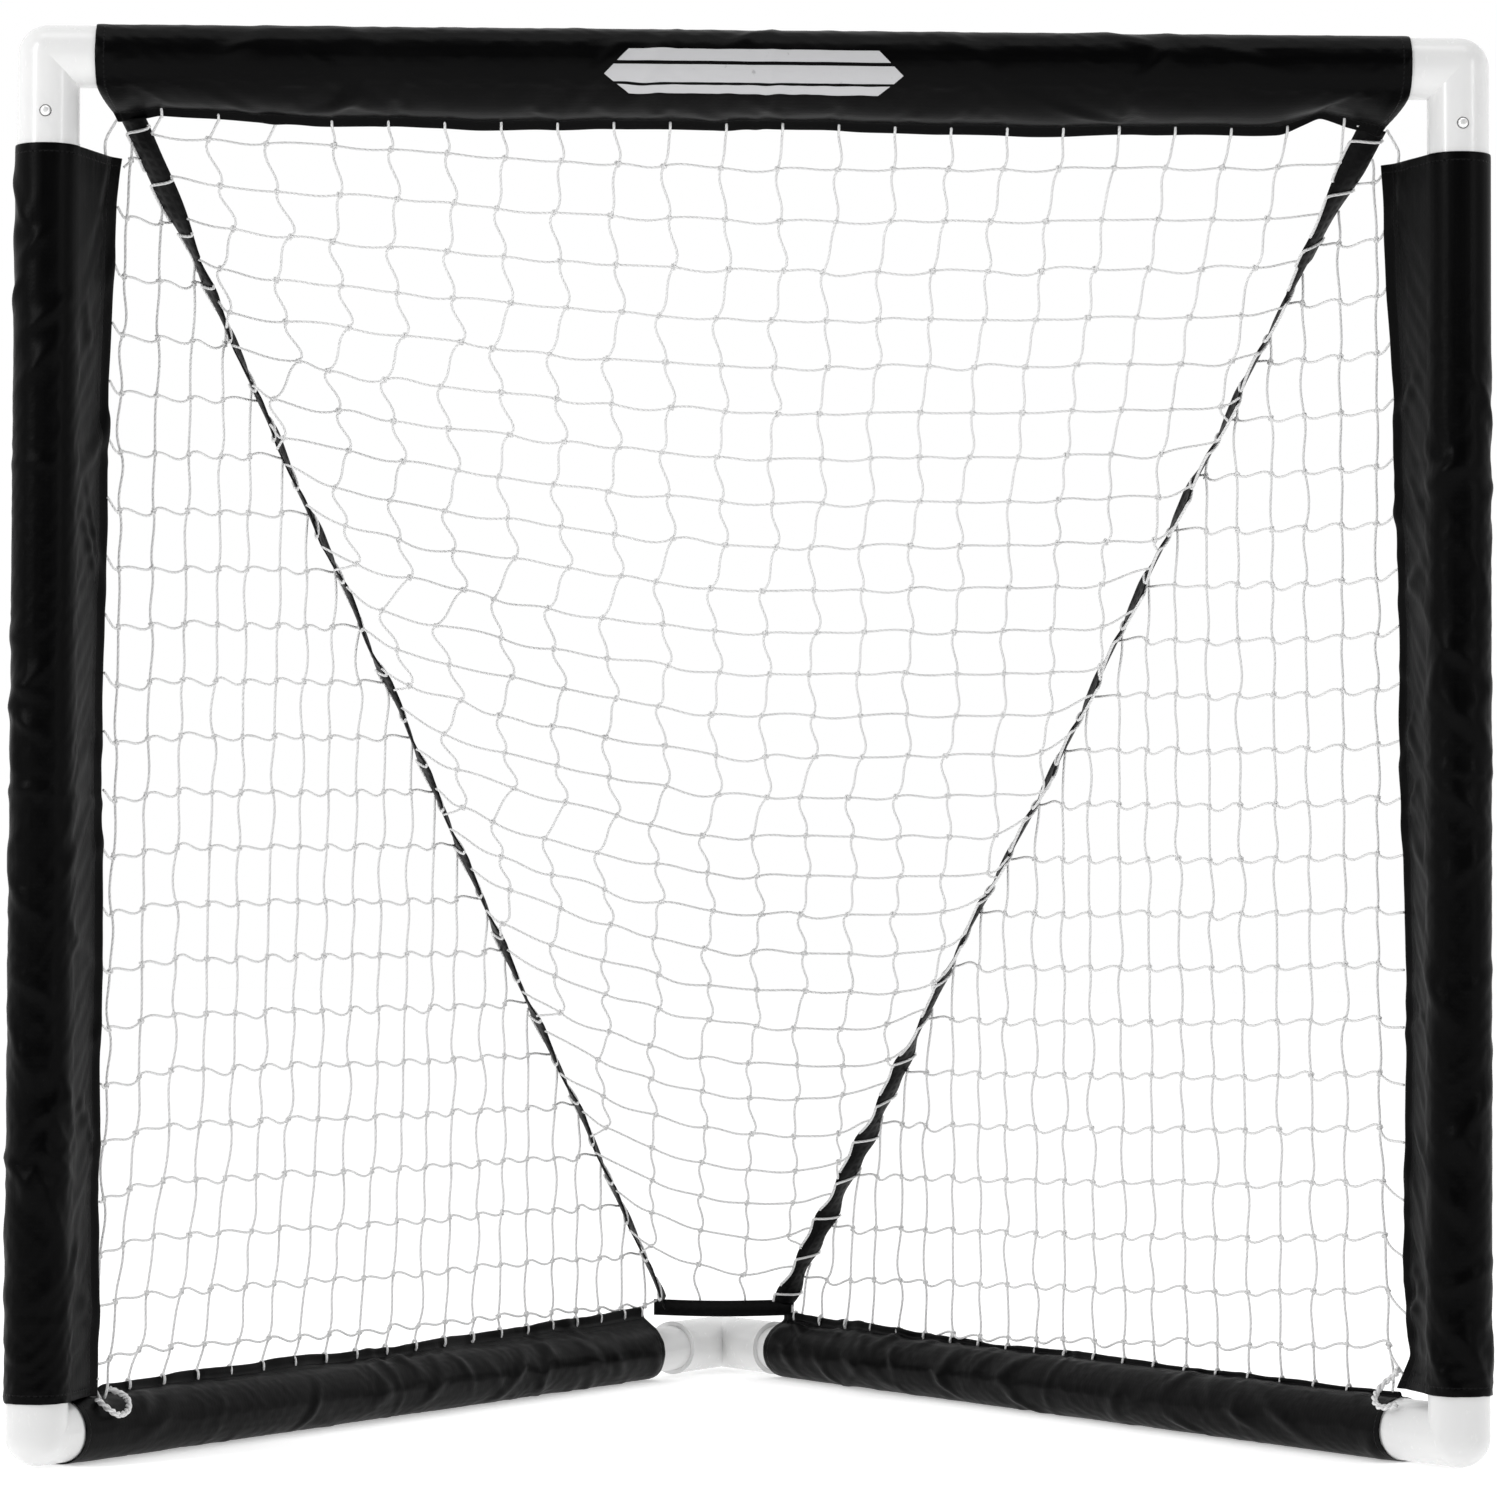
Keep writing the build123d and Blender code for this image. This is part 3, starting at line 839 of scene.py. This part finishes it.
def turned(across, face, angles):
    """A strap's unit vectors across its width and out of its face, turned by these angles."""
    cos, sin = np.cos(angles)[:, None], np.sin(angles)[:, None]
    return across * cos + face * sin, face * cos - across * sin


def strap_piece(name, line, wide, flat, half_widths):
    """Flat webbing along a line, with a little curl across its width."""
    share = np.linspace(-1, 1, 9)
    curl = (share ** 2 - 0.5)[None, :, None] * STRAP_CURL
    sheet = line[:, None] + wide[:, None] * (half_widths[:, None] * share)[..., None] + flat[:, None] * curl
    front = sheet + flat[:, None] * STRAP_THICK / 2
    behind = sheet - flat[:, None] * STRAP_THICK / 2
    ring = np.concatenate([front, behind[:, ::-1]], 1)
    rows, columns = ring.shape[:2]
    faces, marks = grid_quads(rows, columns)
    around = np.concatenate([share, 2.1 + share]) * STRAP_HALF
    around = np.append(around, around[0])
    uvs = np.stack([lengths_along(line)[marks[..., 0]], around[marks[..., 1]]], -1).reshape(-1, 2)
    ends = [list(range(columns)), list(range((rows - 1) * columns, rows * columns))[::-1]]
    uvs = np.vstack([uvs, np.zeros((2 * columns, 2))])
    return new_object(name, ring.reshape(-1, 3), faces.tolist() + ends, FINISHES["webbing"], uvs)


# (share of the way down, degrees)
STRAP_TWIST = {
    "left": [(0, 25), (0.04, 30), (0.09, 48), (0.15, 76), (0.3, 82), (0.42, 66), (0.55, 70),
             (0.7, 66), (0.85, 74), (1, 80)],
    "right": [(0, -5), (0.03, -12), (0.08, -52), (0.16, -74), (0.35, -78), (0.55, -70),
              (0.7, -62), (0.8, -35), (0.92, -22), (1, -15)],
}
STRAP_OVERLAP = (17 * MM, 9 * MM)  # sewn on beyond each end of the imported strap
STRAP_HEAD_OUT = 4 * MM  # its sewn head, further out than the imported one's
STRAP_WAVES = ((0.17, 2.2 * MM), (0.045, 0.9 * MM))  # (share of its length, size)
STRAP_SEED = 50
LACING_PITCH = 41 * MM
WRAP_SHARE = 0.34  # of each turn of the lacing, for going round the strap
LACING_SWING = np.radians(12)  # how far each turn twists the strap, and how much it narrows it
LACING_PINCH = 0.16
LACING_LATE = 0.67  # of a turn, where the strap is narrowest
CORD_R = 0.95 * MM
NET_CORD_R = 0.85 * MM


def strap_form(label):
    """A diagonal strap's line, axes across it and out of it, half width and lacing turns."""
    side = SIDES[label]
    head, foot = strap_ends(side)
    way = unit(foot - head)
    across = np.cross(strap_face(way), way)
    head = head - way * STRAP_OVERLAP[0] + X_AXIS * side * STRAP_HEAD_OUT
    foot = foot + way * STRAP_OVERLAP[1]
    share = np.linspace(0, 1, 420)
    rng = np.random.default_rng(STRAP_SEED + side)
    line = head + (foot - head) * share[:, None]
    hold = np.sin(math.pi * share) ** 0.5
    for direction in (X_AXIS, unit([0, 0.6, 0.8])):
        line = line + direction * (waver(rng, share, STRAP_WAVES) * hold)[:, None]
    keys = np.array(STRAP_TWIST[label], float)
    turns = lengths_along(line) / LACING_PITCH
    wrap = np.clip((turns - np.floor(turns)) / WRAP_SHARE, 0, 1)
    phase = 2 * math.pi * (np.floor(turns) + wrap * wrap * (3 - 2 * wrap))
    angle = np.radians(np.interp(share, keys[:, 0], keys[:, 1]))
    angle = angle + LACING_SWING * np.sin(math.pi * turns) * np.clip(share * 8, 0, 1)
    pinch = 1 - LACING_PINCH - LACING_PINCH * np.cos(2 * math.pi * (turns - LACING_LATE))
    half = STRAP_HALF * np.where(share < 0.1, 1.0, pinch)
    return line, *turned(across, strap_face(way), angle), half, phase


def strap_face(way):
    """Level-edged unit vector out of a strap that runs this way."""
    return unit(np.cross(X_AXIS, [0, way[1], way[2]]))


def strap_edge(label, inner):
    """The strap's edge towards the back panel (inner) or towards the side panel."""
    line, wide, flat, half, phase = strap_form(label)
    sign = SIDES[label] if inner else -SIDES[label]
    return line + wide * (half * sign)[:, None]


def make_diagonal_straps():
    for label in SIDES:
        line, wide, flat, half, phase = strap_form(label)
        piece = strap_piece("strap_" + label, line, wide, flat, half)
        ride(piece, "webbing", "diagonal_strap_" + label)
        lengths_along(line)[-1]
        add_lacing(label, line, wide, flat, half, phase)


def add_lacing(label, *form):
    """Net cord wound round a strap in a spiral, tight on its faces and edges."""
    places = np.arange(len(form[0]))
    fine = np.linspace(0, len(places) - 1, len(places) * 3)

    def finer(values):
        columns = values.reshape(len(places), -1).T
        return np.stack([np.interp(fine, places, column) for column in columns], 1)

    line, wide, flat, half, phase = map(finer, form)
    around = (wide * ((half + CORD_R) * np.cos(phase))
              + flat * ((STRAP_THICK / 2 + CORD_R * 1.25) * np.sin(phase)))
    head, foot = strap_ends(SIDES[label])
    made = Bundle()
    made.add(line + around, CORD_R, 7, unit(line[-1] - line[0]) * 0.6 + strap_face(unit(foot - head)) * 0.8)
    made.fit("lacing_" + label, "net_cord")


def make_back_strap():
    low, high = box("back_strap")
    reach = X_AXIS * ((high[0] - low[0]) / 2 + BACK_OVERLAP)
    share = np.linspace(0, 1, 60)
    line = middle("back_strap") - reach + 2 * reach * share[:, None]
    line = line - Z_AXIS * (BACK_SAG * np.sin(math.pi * share))[:, None]
    twist = BACK_TWIST * np.sin(5 * share)
    half = np.full(60, (high[2] - low[2]) / 2)
    piece = strap_piece("strap_back", line, *turned(Z_AXIS, -Y_AXIS, twist), half)
    ride(piece, "webbing", "back_strap")


# ---- net --------------------------------------------------------------------------------
MESH_ACROSS = 35.8 * MM
MESH_DOWN = 34.8 * MM
FIRST_ROW = 24 * MM  # below the crossbar sleeve's hem
NET_SLACK = 0.010  # mean spare length of a cord between two knots
KNOT_SCATTER = 1.3 * MM
SETTLE_STEPS = 220
FALL = 0.12 * MM  # at each step
OVER_RELAX = 1.6
HOMING = 0.0015  # share of the way back to its first place, at each step
CORD_SAMPLES = 8  # from knot to knot
CORD_BOW = 1.15  # how far a cord runs on in its knots' ways
KNOT_TURN, KNOT_TIP = 0.13, 0.16  # spread of a cord's way at a knot, in and out of the panel
KNOT_CORD_R = 0.8 * MM


class Net:
    """A knotted net panel: knots held by chains of cord, relaxed under gravity."""

    def __init__(self, normal, seed):
        self.points, self.held, self.chains = [], [], []
        self.normal = unit(normal)
        self.rng = np.random.default_rng(seed)

    def point(self, place, held=False):
        self.points.append(np.asarray(place, float))
        self.held.append(held)
        return len(self.points) - 1

    def chain(self, kind, members):
        self.chains.append((kind, members))

    def relax(self):
        """Cords can't stretch past their own length; knots drift down within that."""
        place = np.array(self.points)
        rest = place.copy()
        free = ~np.array(self.held)
        pairs = np.array([(a, b) for kind, chain in self.chains for a, b in zip(chain, chain[1:])])
        longest = np.linalg.norm(place[pairs[:, 0]] - place[pairs[:, 1]], axis=1)
        longest = longest * (1 + self.rng.uniform(0, 2 * NET_SLACK, len(pairs)))
        count = np.bincount(pairs.ravel(), minlength=len(place))[:, None]
        place[free] += self.rng.normal(0, KNOT_SCATTER, (free.sum(), 3))
        for step in range(SETTLE_STEPS):
            place[free] -= Z_AXIS * FALL
            for sweep in range(4):
                gap = place[pairs[:, 1]] - place[pairs[:, 0]]
                size = np.linalg.norm(gap, axis=1)
                over = np.clip(size - longest, 0, None) / size
                move = np.zeros_like(place)
                np.add.at(move, pairs[:, 0], gap * over[:, None] * 0.5)
                np.add.at(move, pairs[:, 1], -gap * over[:, None] * 0.5)
                move *= OVER_RELAX / np.maximum(count, 1)
                place[free] += move[free]
            place[free] += (rest[free] - place[free]) * HOMING
        self.points = place

    def draw(self, bundle, lean, sag):
        """Draw every chain as one smooth cord; lean(kind, point) turns its way at a knot."""
        share = np.arange(CORD_SAMPLES) / CORD_SAMPLES
        bend = np.stack([2 * share ** 3 - 3 * share ** 2 + 1, share ** 3 - 2 * share ** 2 + share,
                         -2 * share ** 3 + 3 * share ** 2, share ** 3 - share ** 2], 1)
        for kind, chain in self.chains:
            place = self.points[chain]
            ways = np.gradient(place, axis=0)
            spans = np.diff(place, axis=0)
            turns = np.array([lean(kind, p) for p in place])
            turns = turns + self.rng.normal(0, KNOT_TURN, len(turns))
            turns[0] = turns[-1] = 0
            tip = self.rng.normal(0, KNOT_TIP, len(turns))
            aside = np.cross(self.normal, ways)
            ways = (ways * np.cos(turns)[:, None] + aside * np.sin(turns)[:, None]
                    + self.normal * (tip * np.linalg.norm(ways, axis=1))[:, None])
            pieces = []
            for k, span in enumerate(spans):
                size = np.linalg.norm(span)
                first, second = (unit(ways[end]) * size * CORD_BOW for end in (k, k + 1))
                curve = bend @ np.stack([place[k], first, place[k + 1], second])
                hang = sag(kind) * self.rng.uniform(0.4, 1.5)
                curve = curve - Z_AXIS * (4 * share * (1 - share) * hang * size)[:, None]
                pieces.append(curve)
            pieces.append(place[-1:])
            bundle.add(np.vstack(pieces), NET_CORD_R, 6, self.normal)

    def knots(self, bundle):
        """A small tied lump at every crossing."""
        t = np.arange(16) * 2 * math.pi / 16
        shape = np.stack([np.sin(t) + 2 * np.sin(2 * t), np.cos(t) - 2 * np.cos(2 * t), -np.sin(3 * t)], 1)
        side = unit(np.cross(self.normal, Z_AXIS))
        rise = np.cross(self.normal, side)
        for place, held in zip(self.points, self.held):
            if held:
                continue
            turn = self.rng.uniform(0, 2 * math.pi)
            size = self.rng.uniform(0.55, 0.72) * MM
            a = side * math.cos(turn) + rise * math.sin(turn)
            b = rise * math.cos(turn) - side * math.sin(turn)
            ring = place + size * (shape[:, :1] * a + shape[:, 1:2] * b + shape[:, 2:] * 1.4 * self.normal)
            bundle.add(ring, KNOT_CORD_R, 5, self.normal + 0.35 * a, closed=True)


def hem_loop(bundle, tip, flap_way, along):
    """The small ring of cord that ties a net cord through a hem."""
    t = np.arange(12) * 2 * math.pi / 12
    thick = np.cross(flap_way, along)
    ring = tip - flap_way * 2.6 * MM + (np.cos(t) * 3.8 * MM)[:, None] * flap_way
    ring = ring + (np.sin(t) * 1.9 * MM)[:, None] * thick
    bundle.add(ring, CORD_R, 6, along, closed=True)


WANDER = (-8, 0, 7, -3, 4, 9)  # mm that a loose column's knots lie aside, row by row


def make_back_net():
    """Panel under the crossbar, down to the back strap. It hangs higher on its left edge."""
    top = np.array([0, HEM_Y, HEM_Z])
    bottom = np.array([0, middle("back_strap")[1], middle("back_strap")[2] + 5 * MM])
    down = unit(bottom - top)
    depth = np.linalg.norm(bottom - top)
    net = Net(np.cross(X_AXIS, down), 3)
    straps = {side: strap_edge(label, True) for label, side in SIDES.items()}
    levels = {side: (line - top) @ down for side, line in straps.items()}

    def on_strap(side, level):
        return np.array([np.interp(level, levels[side], straps[side][:, k]) for k in range(3)])

    def rise(x, level):
        """How far above its row's level the net hangs at x, from how the edges are laced."""
        share = level / depth
        edge = abs(on_strap(1, level)[0])
        if x < 0:
            return (18 + 38 * math.sin(math.pi * share)) * MM * min(abs(x) / edge, 1) ** 1.3
        return (5 - 27 * share ** 3) * MM * min(x / edge, 1) ** 1.3

    def drift(x, level):
        """Columns on the right lean in towards the middle as they go down."""
        return x * (1 - 0.095 * min(level / 0.21, 1)) if x > 0 else x

    columns = (np.arange(22) - 10.5) * MESH_ACROSS
    rows = FIRST_ROW + np.arange(int((depth - FIRST_ROW) / MESH_DOWN)) * MESH_DOWN
    knots = {}
    for j, level in enumerate(rows):
        ends = {side: on_strap(side, level - rise(side, level)) for side in (-1, 1)}
        chain = [net.point(ends[-1], True)]
        for i, column in enumerate(columns):
            x = drift(column, level)
            height = level - rise(x, level)
            loose = np.clip(0.62 - x / 0.55, 0.12, 1.0) * min(1, 2.2 * (1 - level / depth))
            x = x + WANDER[(j + i // 3) % len(WANDER)] * loose * MM
            if abs(x) < abs(on_strap(1, height)[0]) - 7 * MM:
                knots[i, j] = net.point(top + X_AXIS * x + down * height)
                chain.append(knots[i, j])
        chain.append(net.point(ends[1], True))
        net.chain("row", chain)
    bundle = Bundle()
    sleeve_start = SLEEVES["crossbar_sleeve"]["start"][0]
    flap_way = unit([0, HEM_Y - FRONT_Y, HEM_Z - CROSSBAR_Z])
    for i, column in enumerate(columns):
        tip = flap_tip("crossbar_sleeve", column - sleeve_start)
        own = [j for j in range(len(rows)) if (i, j) in knots]
        chain = [net.point(tip, True)] + [knots[i, j] for j in own]
        below = rows[own[-1]] + MESH_DOWN * 0.6 if own else FIRST_ROW
        x = drift(column, below)
        if below > depth - MESH_DOWN * 0.5 or abs(x) < abs(on_strap(1, depth)[0]):
            end = bottom + X_AXIS * x
        else:
            end = on_strap(1 if x > 0 else -1, below - rise(x, below))
        chain.append(net.point(end, True))
        net.chain("column", chain)
        hem_loop(bundle, tip, flap_way, X_AXIS)
    net.relax()

    def lean(kind, place):
        left = np.clip(0.5 - place[0] / 0.7, 0, 1)
        return math.radians(10 + 30 * left) if kind == "column" else math.radians(-5)

    net.draw(bundle, lean, lambda kind: 0.015 if kind == "row" else 0.0)
    net.knots(bundle)
    bundle.fit("back_netting", "net_cord", "net_back")


# How each side was laced, in mm. first: from the flap's corner to the first column; pitch: from
# row to row; gathered: columns tied at the corner; laced: rise of a row's end on the post; lean:
# of the lowest cords along the rail; shift: of all columns' feet; droop: of the rows at the top;
# dips: of the first columns' lowest knots; tilt: slope of the lowest rows.
SIDE_NETS = {
    "left": dict(first=15, pitch=35.6, gathered=2, laced=-36, lean=-44, shift=0, droop=7,
                 dips=(13, 5), tilt=0.055),
    "right": dict(first=14, pitch=35.0, gathered=1, laced=-30, lean=0, shift=11, droop=2,
                  dips=(0, 0), tilt=0.09),
}
SIDE_MESH = 35  # mm between a side panel's columns
LEVEL_AT = 0.18  # metres along the rail, where a tilted row keeps its height
HEM_ZONE = 0.18  # metres: height over the hem in which the cords lean to their loops


def make_side_net(label):
    """Upright panel between a post's flap, a base rail's flap and a strap."""
    side = SIDES[label]
    way, out = rail_way(side), rail_out(side)
    post, base = "post_sleeve_" + label, "base_sleeve_" + label
    net = Net(out * side, 5 + side)
    line = strap_edge(label, False)
    along = (line - corner(side, 0)) @ way
    inward = -(line - corner(side, 0)) @ out
    post_foot = SLEEVES[post]["start"][2]
    post_top = post_foot + SLEEVES[post]["length"]
    base_start = (SLEEVES[base]["start"] - corner(side, 0)) @ way
    corner_tip = flap_tip(post, 0)
    flap_along = (corner_tip - corner(side, 0)) @ way
    shape = SIDE_NETS[label]
    columns = flap_along + (shape["first"] + SIDE_MESH * np.arange(21)) * MM
    rows = FLAP_TIP_Z + np.arange(1, 23) * shape["pitch"] * MM
    gathered = shape["gathered"]

    def on_strap(distance):
        return np.array([np.interp(distance, along, line[:, k]) for k in range(3)])

    def place(distance, height):
        top = on_strap(distance)[2]
        bulge = np.interp(distance, along, inward)
        share = np.clip((height - FLAP_TIP_Z) / (top - FLAP_TIP_Z), 0, 1)
        return by_rail(side, distance, bulge * share, height)

    def shift(i, height):
        """How far a column leans along the rail at this height."""
        low = 1 - min((height - FLAP_TIP_Z) / (post_top - FLAP_TIP_Z), 1)
        near_hem = max(1 - (height - FLAP_TIP_Z) / HEM_ZONE, 0)
        if i < gathered:
            return ((4 + 5 * i) * MM + flap_along - columns[i]) * 0.8 * near_hem + shape["shift"] * low * MM
        return (min(shape["lean"] + 3 * i, 0) * near_hem ** 1.2 + shape["shift"] * low) * MM

    def rise(i, distance, height):
        """How far a knot hangs above its row's own height."""
        share = (height - FLAP_TIP_Z) / (post_top - FLAP_TIP_Z)
        droop = (shape["droop"] + 7 * (distance / columns[-1]) ** 2) * share
        dip = shape["dips"][i] * (1 - share) if i < 2 else 0
        tilt = (LEVEL_AT - distance) * shape["tilt"] * max(1 - 1.4 * share, 0)
        return tilt - (droop + dip) * MM

    knots = {}
    for j, height in enumerate(rows):
        reach = np.interp(-height, -line[:, 2], along)
        reach = np.interp(-height - rise(9, reach, height), -line[:, 2], along)
        share = (height - post_foot) / (post_top - post_foot)
        laced = np.clip(height + (34 * share + shape["laced"]) * MM, post_foot + 6 * MM, post_top - 6 * MM)
        chain = [net.point(flap_tip(post, laced - post_foot), True)]
        for i, distance in enumerate(columns):
            if distance + shift(i, height) < reach - 8 * MM:
                spot = place(distance + shift(i, height), height + rise(i, distance, height))
                knots[i, j] = net.point(spot)
                chain.append(knots[i, j])
        chain.append(net.point(on_strap(reach), True))
        if len(chain) > 2:
            net.chain("row", chain)
    bundle = Bundle()
    for i, distance in enumerate(columns):
        chain = [knots[i, j] for j in range(len(rows)) if (i, j) in knots]
        if not chain:
            continue
        if i < gathered:
            foot = corner_tip + way * (3 + 4 * i) * MM - Z_AXIS * 2 * MM
        else:
            hem_place = distance + shift(i, FLAP_TIP_Z) - base_start
            foot = flap_tip(base, min(hem_place, SLEEVES[base]["length"] - 3 * MM))
            hem_loop(bundle, foot, Z_AXIS, way)
        chain = [net.point(foot, True)] + chain + [net.point(on_strap(distance), True)]
        net.chain("column", chain)
    net.relax()
    lean = {"row": math.radians(27), "column": math.radians(4 * side)}
    net.draw(bundle, lambda kind, where: lean[kind], lambda kind: 0.03 if kind == "row" else 0.0)
    net.knots(bundle)
    bundle.fit("side_netting_" + label, "net_cord", "net_" + label)


# ---- corner ties ------------------------------------------------------------------------


def twisted(bundle, line, strands, radius, pitch, normal):
    """Strands of cord wound round each other along a line."""
    turn = 2 * math.pi * lengths_along(line)[:, None] / pitch
    for strand in range(strands):
        offset = ring_round(line, normal, turn + 2 * math.pi * strand / strands)[:, 0]
        bundle.add(line + offset * radius * 0.9, radius, 7, normal)


# mm along the rail, inward from it and up: a small open loop beside each front corner
TIE_ROUTES = {
    "left": [(44, 14, 40), (46, 22.6, 33.5), (54, 25, 30), (64, 24, 33), (68, 19, 40), (64, 9, 45)],
    "right": [(42, 16, 38), (50, 22.5, 36), (57, 22, 41), (60, 13, 49), (52, 9, 56), (46, 12, 60)],
}


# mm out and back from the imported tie's middle, its bottom (0) or top (1), mm above that
TOP_TIE = [(-7, -1, 1, 5), (-0.6, -0.6, 1, -6), (0.9, 0, 0, 5), (0, 0, 0, -4)]
TIE_STRAND_R = 1.15 * MM
TIE_PITCH = 9 * MM  # one turn of its two strands


def make_ties():
    for label, side in SIDES.items():
        low, high = box("tie_top_" + label)
        x, y = middle("tie_top_" + label)[:2]
        ends = (low[2], high[2])
        line = smooth_line([(x + side * a * MM, y + b * MM, ends[end] + c * MM)
                            for a, b, end, c in TOP_TIE], 30)
        bundle = Bundle()
        bundle.add(line, CORD_R, 8, Y_AXIS)
        bundle.fit("top_tie_" + label, "tie_cord", "tie_top_" + label)
        line = smooth_line([by_rail(side, a * MM, b * MM, c * MM) for a, b, c in TIE_ROUTES[label]], 90)
        bundle = Bundle()
        twisted(bundle, line, 2, TIE_STRAND_R, TIE_PITCH, Z_AXIS * 0.5 + rail_out(side))
        bundle.fit("bottom_tie_" + label, "tie_cord", "tie_bottom_" + label)


# ---- the scene --------------------------------------------------------------------------
bpy.context.scene.view_settings.view_transform = "Standard"
add_camera()
add_world()
for light in LIGHTS:
    add_area_light(*light)

FINISHES = {
    "pipe_plastic": plastic("pipe_plastic", 0.76, 0.34),
    "fitting_plastic": plastic("fitting_plastic", 0.78, 0.27),
    "button_steel": steel("button_steel", 0.95, 0.5),
    "spring_steel": steel("spring_steel", 0.5, 0.35),
    "sleeve_cloth": cloth("sleeve_cloth", around=0.175, length=0.78),
    "webbing": webbing("webbing"),
    "net_cord": cord_finish("net_cord", 0.8, 3.4 * MM),
    "tie_cord": cord_finish("tie_cord", 0.86, 4.4 * MM),
}

slots = {part["node"]: part["material_slot"] for part in frame["record"]["subparts"]}
for node, piece in frame["nodes"].items():
    piece.data.materials.clear()
    piece.data.materials.append(FINISHES[slots[node]])

make_sleeves()
make_diagonal_straps()
make_back_strap()
make_back_net()
for label in SIDES:
    make_side_net(label)
make_ties()

floor = new_object(
    "floor", [(-30, -30, 0), (30, -30, 0), (30, 30, 0), (-30, 30, 0)], [(0, 1, 2, 3)], floor_finish()
)
